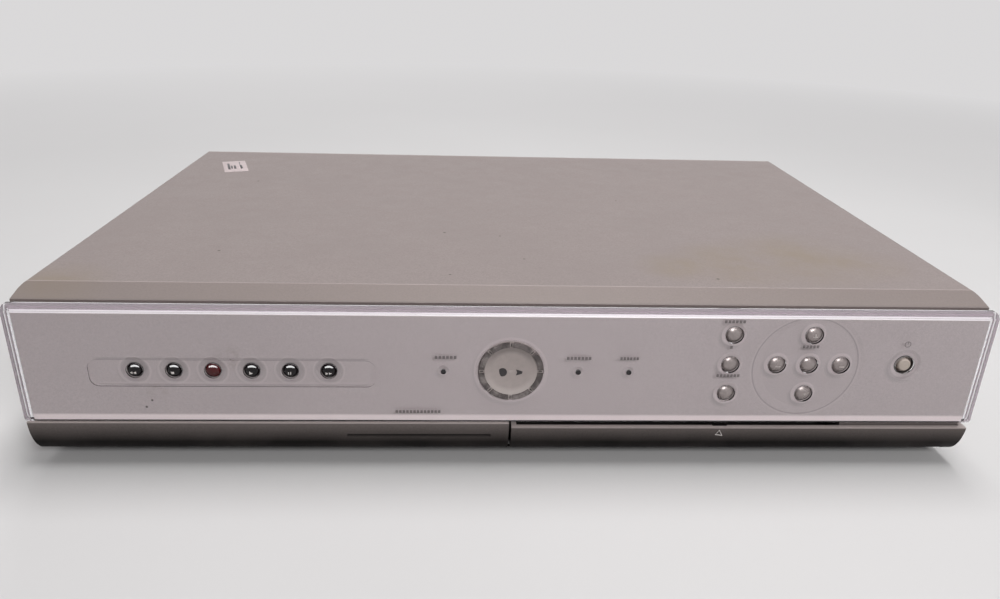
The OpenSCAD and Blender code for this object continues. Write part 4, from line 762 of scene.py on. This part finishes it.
def addDomeMarks():
    for node, outlines in domeMarks.items():
        if not node.startswith("button_"):
            continue
        dark = nodeFinish[node] == "darkDome"
        radius = domeMarks["darkRadius"] if dark else domeMarks["silverRadius"]
        parts = [cutPatch(node, radius, outline) for outline in outlines]
        mark = joinPieces("mark_" + node[7:], parts)
        # the marks' light tones are painted highlights of the raised symbols
        settle(mark, "markLight" if dark else "markSilverHighlight", node)


addDomeMarks()
print("marks on the domes added")


# printed marks on the front, in mm: display icons, standby icon, plain label lines, flap triangle

marks = {
    "dot": (-3.6, 20.45, 1.75),  # across, up, radius
    "arrow": (3.15, 20.4, 1.65),
    "notch": 0.45,  # how deep the arrow's back is cut in
    "point": 0.85,  # how far its point is drawn out; the disc hides the tip
    "pinch": 0.4,  # how much its back corners are drawn in
    "discFront": 1.42,
    "iconThick": 0.2,
    "iconBevel": 0.05,
    "tickRadius": 11.0,
    "tickFront": 0.66,
    "tickSize": (0.35, 0.12, 1.3),
    "tickBevel": 0.04,
    "standby": (148.4, 33.8, 1.1),
    "standbyLine": 0.13,
    "standbyFlatten": 0.25,
    "standbyTick": (0.26, 0.06, 1.1),
    "standbyRise": 0.7,
    # across, up, width of the plain line that stands where a label would
    "lines": [(-24.8, 27.3, 8.4), (24.7, 27.2, 9.5), (43.6, 27.2, 7.3), (-35.2, 4.3, 17.3),
              (81.4, 42.6, 8.2), (81.4, 32.2, 1.4), (81.7, 20.3, 9.2), (111.5, 32.6, 6.6)],
    "lineHeight": 1.2,
    "lineThick": 0.04,
    "blockPitch": 1.3,
    "blockShare": 0.72,
    "triangle": (81.9, -5.6, 0.72),  # across, up, depth of the strip's face there
    "triangleRadius": 1.45,
    "triangleLine": 0.2,
    "triangleTilt": 0.19,  # radians that the flap's face leans back there
}


def addDisplayIcons():
    thick = marks["iconThick"]
    bevel = marks["iconBevel"] * mm
    depth = marks["discFront"] + thick / 2
    x, z, radius = marks["dot"]
    dot = startRound(onFront(x, z, depth), radius * mm, thick * mm, 48, bevel)
    dot.name = "display_dot"
    settle(dot, "markDark")
    x, z, radius = marks["arrow"]
    square = startRound(onFront(x, z, depth), radius * mm, thick * mm, 4)
    arrow = joinPieces("display_arrow", [square])
    middle = onFront(x, z)
    # corner of the square, then how far it moves across and up
    shifts = {(0, 1): (-radius, -marks["pinch"]), (0, -1): (-radius, marks["pinch"]),
              (-1, 0): (marks["notch"], 0.0), (1, 0): (marks["point"], 0.0)}
    for vertex in arrow.data.vertices:
        gap = vertex.co - middle
        across, up = shifts[(round(gap.x / (radius * mm)), round(gap.z / (radius * mm)))]
        vertex.co.x += across * mm
        vertex.co.z += up * mm
    inEdit(lambda: bpy.ops.mesh.bevel(offset=bevel, segments=1, affect="EDGES"))
    settle(arrow, "markDark")


def addRingTicks():
    across, _, high = middleOf("display_ring")
    reach = marks["tickRadius"] * mm
    tickY = frontY + marks["tickFront"] * mm
    size = inMetres(marks["tickSize"])
    parts = []
    for i in range(8):
        turn = i * math.pi / 4
        place = Vector((across + reach * math.sin(turn), tickY, high + reach * math.cos(turn)))
        parts.append(startBar(place, size, marks["tickBevel"] * mm, (0.0, turn, 0.0)))
    settle(joinPieces("display_ticks", parts), "markDark")


def addStandbyIcon():
    x, z, radius = marks["standby"]
    line = marks["standbyLine"] * mm
    ring = startRing(onFront(x, z), radius * mm, line, 40, marks["standbyFlatten"])
    above = onFront(x, z + marks["standbyRise"])
    tick = startBar(above, inMetres(marks["standbyTick"]), 0.02 * mm)
    settle(joinPieces("standby_icon", [ring, tick]), "markPrint")


def addLabelLines():
    parts = []
    for x, z, width in marks["lines"]:
        count = max(1, round(width / marks["blockPitch"]))
        pitch = width / count
        size = inMetres((marks["blockShare"] * pitch, marks["lineThick"], marks["lineHeight"]))
        for i in range(count):
            parts.append(startBar(onFront(x - width / 2 + (i + 0.5) * pitch, z), size, 0.015 * mm))
    settle(joinPieces("label_lines", parts), "markPrint")


def addFlapTriangle():
    x, z, depth = marks["triangle"]
    place = onFront(x, z, depth)
    dropSelection()
    bpy.ops.mesh.primitive_torus_add(major_segments=3, minor_segments=8, location=place,
                                     major_radius=marks["triangleRadius"] * mm,
                                     minor_radius=marks["triangleLine"] * mm,
                                     rotation=(math.pi / 2 - marks["triangleTilt"], 0.0, 0.0))
    triangle = bpy.context.object
    triangle.name = "flap_triangle"
    bpy.ops.object.transform_apply(location=False)
    inEdit(lambda: bpy.ops.transform.rotate(value=math.pi / 2, orient_axis="Y",
                                            center_override=tuple(place)))
    settle(triangle, "markLight", "flap")


addDisplayIcons()
addRingTicks()
addStandbyIcon()
addLabelLines()
addFlapTriangle()
print("front marks added")


# sticker on the cover, in mm

coverSticker = {
    "middle": (-152.5, 201.8),  # across, back from the clear face
    "size": (13.0, 26.8, 0.12),
    "sunk": 0.02,  # how far the paper's middle lies below the paint
    "turn": 18.5,
    "barRise": 0.055,
    "barThick": 0.03,
    # plain bars on it: across, along, width, length
    "bars": [(-3.5, 0.3, 1.3, 15.0), (-1.9, -1.7, 0.9, 7.5), (-0.2, -1.9, 1.2, 8.3),
             (2.9, 2.0, 0.45, 18.0), (3.5, -2.2, 0.9, 8.9)],
}


def addCoverSticker():
    x, y = coverSticker["middle"]
    centre = Vector((x * mm, frontY + y * mm, coverHigh.z - coverSticker["sunk"] * mm))
    turn = math.radians(coverSticker["turn"])
    paper = startBar(centre, inMetres(coverSticker["size"]), 0.03 * mm, (0.0, 0.0, turn))
    paper.name = "cover_sticker"
    settle(paper, "stickerPaper")
    parts = []
    for across, along, width, length in coverSticker["bars"]:
        flat = Vector((across * mm, along * mm, coverSticker["barRise"] * mm))
        place = centre + Matrix.Rotation(turn, 3, "Z") @ flat
        size = inMetres((width, length, coverSticker["barThick"]))
        parts.append(startBar(place, size, 0.01 * mm, (0.0, 0.0, turn)))
    settle(joinPieces("cover_sticker_bars", parts), "markDark")


addCoverSticker()
print("sticker added")


# rear, in mm: threads, contacts, coloured sleeves, pins and screw slots

rear = {
    "dishX": (-160.0, -136.0), "dishZ": 20.6, "threadPitch": 1.06, "threads": 8,
    "aerialX": (-109.0, -92.0, -75.0), "aerialZ": 24.6,
    "multiX": -30.0, "multiZ": (21.6, 44.6), "contactPitch": 3.6, "contacts": 10,
    "contactStart": -16.7,  # first contact from the socket's middle
    "contactRows": ((-2.0, 0.0), (2.0, 1.2)),  # up, across
    "bladeReach": 21.4,
    "phonoX": 10.0, "phonoZ": (22.6, 38.6),
    "video": (28.0, 19.6), "videoPins": ((-1.7, 0.6), (1.7, 0.6), (-1.2, -2.0), (1.2, -2.0)),
    "optical": (28.0, 43.6), "ridgeDrop": 1.9,
    "serial": (50.0, 20.6), "serialPitch": 2.77, "serialRise": 1.4, "postReach": 12.5,
    "phone": (50.0, 44.6), "wires": 6, "wirePitch": 1.02,
    "wireStart": -2.55, "wireRise": 0.9, "wireTilt": -28,
    "mains": (152.0, 23.6), "mainsReach": 4.3,
    "fan": (99.0, 35.0),
}


# round pieces: radius, length, how far out, sides, bevel
rearPins = {
    "dishCore": (0.5, 1.6, 9.6, 20, 0.1),
    "aerialCore": (1.22, 1.2, 6.6, 28, 0.25),
    "videoPin": (0.42, 2.6, -1.6, 18, 0.1),
    "serialPin": (0.55, 4.2, 2.2, 16, 0.15),
    "serialPost": (2.6, 3.0, 1.5, 6, 0.25),
    "mainsPin": (1.28, 10.6, -6.2, 28, 0.35),
}
# rings: radius, thickness, how far out, sides, share left of the depth
rearRings = {
    "thread": (4.76, 0.3, 2.9, 40, 1.0),
    "washer": (7.0, 0.8, 0.35, 40, 0.5),
    "aerialInsulator": (2.7, 1.45, -2.4, 36, 0.4),
    "phonoSleeve": (4.45, 0.75, 1.9, 44, 1.1),
    "phonoCore": (2.6, 0.9, 8.35, 44, 0.35),
    "postRim": (1.45, 0.3, 3.0, 24, 0.6),
}
# bars: size across, through and up, how far out, bevel
rearBars = {
    "contact": ((1.1, 1.2, 0.35), -0.2, 0.06),
    "blade": ((0.4, 5.0, 6.4), -1.2, 0.1),
    "opticalDoor": ((6.2, 0.8, 6.2), -0.7, 0.25),
    "opticalRidge": ((4.4, 0.5, 0.5), -0.2, 0.12),
    "serialInsulator": ((15.6, 0.8, 7.2), -0.4, 0.2),
    "phoneWire": ((0.4, 5.6, 0.4), -2.6, 0.08),
}


def onRear(x, z, out):
    return Vector((x * mm, rearY + out * mm, z * mm))


def rearPin(kind, x, z):
    radius, length, out, sides, bevel = rearPins[kind]
    return startRound(onRear(x, z, out), radius * mm, length * mm, sides, bevel * mm)


def rearRing(kind, x, z):
    radius, thickness, out, sides, flatten = rearRings[kind]
    return startRing(onRear(x, z, out), radius * mm, thickness * mm, sides, flatten)


def rearBar(kind, x, z, turn=(0.0, 0.0, 0.0)):
    size, out, bevel = rearBars[kind]
    return startBar(onRear(x, z, out), inMetres(size), bevel * mm, turn)


def copyTo(piece, shift):
    twin = piece.copy()
    twin.data = piece.data.copy()
    bpy.context.scene.collection.objects.link(twin)
    twin.location = piece.location + shift
    return twin


def rowOf(piece, count, step):
    return [piece] + [copyTo(piece, step * i) for i in range(1, count)]


def rowAcross(piece, count, pitch):
    return rowOf(piece, count, Vector((pitch * mm, 0.0, 0.0)))


def addThreads():
    left, right = rear["dishX"]
    high = rear["dishZ"]
    step = Vector((0.0, rear["threadPitch"] * mm, 0.0))
    rings = rowOf(rearRing("thread", left, high), rear["threads"], step)
    across = Vector(((right - left) * mm, 0.0, 0.0))
    rings += [copyTo(ring, across) for ring in rings]
    settle(joinPieces("dish_threads", rings), "nickelPlate")
    settle(joinPieces("dish_washers", [rearRing("washer", x, high) for x in (left, right)]), "screwZinc")
    settle(joinPieces("dish_cores", [rearPin("dishCore", x, high) for x in (left, right)]), "brassPin")


def addAerialCores():
    high = rear["aerialZ"]
    insulators = [rearRing("aerialInsulator", x, high) for x in rear["aerialX"]]
    settle(joinPieces("aerial_insulators", insulators), "whiteRing")
    cores = [rearPin("aerialCore", x, high) for x in rear["aerialX"]]
    settle(joinPieces("aerial_cores", cores), "brassPin")


def addMultiContacts():
    middle = rear["multiX"]
    contacts = []
    for level in rear["multiZ"]:
        for rise, shift in rear["contactRows"]:
            first = rearBar("contact", middle + rear["contactStart"] + shift, level + rise)
            contacts += rowAcross(first, rear["contacts"], rear["contactPitch"])
    settle(joinPieces("multiway_contacts", contacts), "brassPin")
    blades = [rearBar("blade", middle + side * rear["bladeReach"], level)
              for level in rear["multiZ"] for side in (-1, 1)]
    settle(joinPieces("multiway_earth_blades", blades), "tinnedCan")


def addPhonoSleeves():
    for level, finish in zip(rear["phonoZ"], ("redRing", "whiteRing")):
        rings = [rearRing(kind, rear["phonoX"], level) for kind in ("phonoSleeve", "phonoCore")]
        settle(joinPieces("phono_sleeve_" + finish, rings), finish)


def addVideoAndOptical():
    x, z = rear["video"]
    pins = [rearPin("videoPin", x + dx, z + dz) for dx, dz in rear["videoPins"]]
    settle(joinPieces("video_contacts", pins), "brassPin")
    x, z = rear["optical"]
    door = rearBar("opticalDoor", x, z)
    ridge = rearBar("opticalRidge", x, z - rear["ridgeDrop"])
    settle(joinPieces("optical_door", [door, ridge]), "chipBlack")


def addSerialParts():
    x, z = rear["serial"]
    settle(joinPieces("serial_insulator", [rearBar("serialInsulator", x, z)]), "chipBlack")
    pitch = rear["serialPitch"]
    pins = []
    for count, rise in ((5, rear["serialRise"]), (4, -rear["serialRise"])):
        first = rearPin("serialPin", x - (count - 1) / 2 * pitch, z + rise)
        pins += rowAcross(first, count, pitch)
    settle(joinPieces("serial_pins", pins), "brassPin")
    posts = []
    for side in (-1, 1):
        postX = x + side * rear["postReach"]
        posts += [rearPin("serialPost", postX, z), rearRing("postRim", postX, z)]
    settle(joinPieces("serial_posts", posts), "screwZinc")


def addPhoneAndMains():
    x, z = rear["phone"]
    tilt = (math.radians(rear["wireTilt"]), 0.0, 0.0)
    first = rearBar("phoneWire", x + rear["wireStart"], z + rear["wireRise"], tilt)
    wires = rowAcross(first, rear["wires"], rear["wirePitch"])
    settle(joinPieces("phone_wires", wires), "brassPin")
    x, z = rear["mains"]
    pins = [rearPin("mainsPin", x + side * rear["mainsReach"], z) for side in (-1, 1)]
    settle(joinPieces("mains_pins", pins), "nickelPlate")


# outside screws, in mm: where their heads are, how far they stand out, and their slots
screws = {
    "rearOut": 1.6,
    "coverOut": 2.6,
    "sideX": 181.8,
    "sideZ": 12.0,
    "sideY": (60.76, 195.04),  # back from the clear face
    "coverX": (-161.1, -17.9, 161.1),
    "coverZ": 67.0,
    "multiReach": 27.5,  # from the middle of the socket or fan that the screws hold
    "mainsReach": 17.0,
    "fanReach": 25.0,
    "slot": (3.0, 0.55, 0.12),  # length, width, depth
    "turns": (20, 110),
}


def crossAt(place, side=False):
    length, width, depth = screws["slot"]
    parts = []
    for degrees in screws["turns"]:
        turn = math.radians(degrees)
        size = (depth, width, length) if side else (length, depth, width)
        axis = (turn, 0.0, 0.0) if side else (0.0, turn, 0.0)
        parts.append(startBar(place, inMetres(size), 0.02 * mm, axis))
    return parts


def addScrewSlots():
    multiX, multiReach = rear["multiX"], screws["multiReach"]
    mainsX, mainsZ = rear["mains"]
    fanX, fanZ = rear["fan"]
    reach = screws["fanReach"]
    heads = [(multiX + side * multiReach, level) for level in rear["multiZ"] for side in (-1, 1)]
    heads += [(mainsX + side * screws["mainsReach"], mainsZ) for side in (-1, 1)]
    heads += [(fanX + dx, fanZ + dz) for dx in (-reach, reach) for dz in (-reach, reach)]
    parts = []
    for x, z in heads:
        parts += crossAt(onRear(x, z, screws["rearOut"]))
    for x in screws["coverX"]:
        parts += crossAt(onRear(x, screws["coverZ"], screws["coverOut"]))
    for side in (-1, 1):
        for back in screws["sideY"]:
            place = Vector((side * screws["sideX"] * mm, frontY + back * mm, screws["sideZ"] * mm))
            parts += crossAt(place, True)
    settle(joinPieces("screw_slots", parts), "slotShadow")


addThreads()
addAerialCores()
addMultiContacts()
addPhonoSleeves()
addVideoAndOptical()
addSerialParts()
addPhoneAndMains()
addScrewSlots()
print("rear details added")


# floor, lamps and camera

floorPaper = {
    "seen": (0.66, 0.65, 0.65),
    "far": (0.70, 0.69, 0.695),
    "blend": (0.35, 1.3),  # metres from the middle
    "lighting": (0.30, 0.29, 0.28),  # what the object itself gets back from the floor
    "sky": 0.28,  # how strongly the room lights the object, against 1 where it is seen
    "size": 40.0,
    "drop": 0.0002,  # keeps the floor just clear of the feet
}


def seenDirectly(tree):
    path = tree.nodes.new("ShaderNodeLightPath")
    kinds = ("Is Camera Ray", "Is Glossy Ray", "Is Transmission Ray")
    return pick(tree, "MAXIMUM", [path.outputs[kind] for kind in kinds])


def addStage():
    bpy.ops.mesh.primitive_plane_add(size=floorPaper["size"], location=(0.0, 0.0, -floorPaper["drop"]))
    floor = bpy.context.object
    floor.name = "studioFloor"
    made, tree, shader, where = startMaterial("paleFloor")
    x, y, _ = axesOf(tree, where)
    paper = spread(tree, noiseOn(tree, where, 3.0, 3.0), 0.3, 0.7, 0.0, 1.0)
    seen = mix(tree, paper, shade(floorPaper["seen"], 0.98), shade(floorPaper["seen"], 1.02))
    direct = seenDirectly(tree)
    plug(tree, mix(tree, direct, floorPaper["lighting"], seen), shader.inputs["Base Color"])
    setSockets(shader, {"Roughness": 0.85, "Specular IOR Level": 0.1})
    # far from the object the paper keeps one even tone up to the horizon
    glow = tree.nodes.new("ShaderNodeEmission")
    glow.inputs["Color"].default_value = (*floorPaper["far"], 1.0)
    squares = calc(tree, "ADD", calc(tree, "MULTIPLY", x, x), calc(tree, "MULTIPLY", y, y))
    away = calc(tree, "SQRT", squares)
    far = calc(tree, "MULTIPLY", spread(tree, away, *floorPaper["blend"]), direct)
    blendShaders(tree, far, shader.outputs["BSDF"], glow.outputs["Emission"])
    floor.data.materials.append(made)
    dropSelection()


# lamps, in metres and watts: shines is whether pieces mirror the lamp, lights whether it lights them
lamps = {
    # place, target, size, power, lights, shines, the only nodes that it falls on
    "overheadSoftbox": ((0.15, 0.0, 1.30), (0.0, -0.02, 0.0), (1.0, 0.42), 12.5),
    "overheadStrip": ((0.0, -0.60, 1.05), (0.0, -0.12, 0.04), (1.2, 0.06), 2.2, False),
    "frontFill": ((0.65, -1.35, 1.00), (0.0, -0.1, 0.05), (0.6, 0.4), 13.0, True, False),
    "domeSoftbox": ((-0.05, -0.40, 0.92), (-0.05, -0.20, 0.04), (3.0, 0.9), 250.0, False, True,
                    darkButtons),
    "silverDomeSoftbox": ((-0.35, -0.42, 0.92), (0.1, -0.20, 0.04), (1.0, 0.5), 17.0, False, True,
                          silverButtons),
    "rearFill": ((-0.40, 1.70, 0.95), (0.0, 0.1, 0.05), (0.9, 0.6), 8.0, True, False),
}


def addLamp(name, place, target, size, power, lights=True, shines=True, onlyOn=()):
    lamp = bpy.data.lights.new(name, "AREA")
    lamp.shape = "RECTANGLE"
    lamp.size, lamp.size_y = size
    lamp.energy = power
    holder = bpy.data.objects.new(name, lamp)
    bpy.context.scene.collection.objects.link(holder)
    holder.location = place
    aim = Vector(target) - Vector(place)
    holder.rotation_euler = aim.to_track_quat("-Z", "Y").to_euler()
    holder.visible_diffuse = lights
    holder.visible_glossy = shines
    holder.visible_transmission = False
    if onlyOn:
        # light linking: this lamp shines on the named nodes alone
        lit = bpy.data.collections.new(name + "Lit")
        for node in onlyOn:
            lit.objects.link(cadNodes[node])
        holder.light_linking.receiver_collection = lit


addStage()
for lampName, lamp in lamps.items():
    addLamp(lampName, *lamp)

world = bpy.data.worlds.new("paleRoom")
world.use_nodes = True
sky = world.node_tree.nodes["Background"]
sky.inputs["Color"].default_value = (*floorPaper["far"], 1.0)
room = world.node_tree
strength = spread(room, seenDirectly(room), 0.0, 1.0, floorPaper["sky"], 1.0)
plug(room, strength, sky.inputs["Strength"])
bpy.context.scene.world = world

# the photograph's camera, fitted to the box's edges
photoCamera = {
    "place": (-18.609, -260.671, 159.237),  # mm from the middle of the clear panel's bottom edge
    "yaw": 2.91,
    "pitch": 22.6,
    "roll": 1.65,
    "lens": 28.43,
}


def addCamera():
    yaw, pitch, roll = (math.radians(photoCamera[key]) for key in ("yaw", "pitch", "roll"))
    ahead = Vector((math.sin(yaw) * math.cos(pitch), math.cos(yaw) * math.cos(pitch), -math.sin(pitch)))
    level = Vector((math.cos(yaw), -math.sin(yaw), 0.0))
    over = level.cross(ahead)
    right = math.cos(roll) * level + math.sin(roll) * over
    up = -math.sin(roll) * level + math.cos(roll) * over
    eye = bpy.data.cameras.new("photoCamera")
    eye.lens = photoCamera["lens"]
    eye.sensor_width = 36.0
    eye.clip_start = 0.01
    holder = bpy.data.objects.new("photoCamera", eye)
    bpy.context.scene.collection.objects.link(holder)
    turn = Matrix((right, up, -ahead)).transposed().to_4x4()
    across, back, high = (part * mm for part in photoCamera["place"])
    holder.matrix_world = Matrix.Translation((across, frontY + back, panelZ + high)) @ turn
    bpy.context.scene.camera = holder


addCamera()
bpy.context.scene.view_settings.view_transform = "Standard"
print("stage, lamps and camera set")
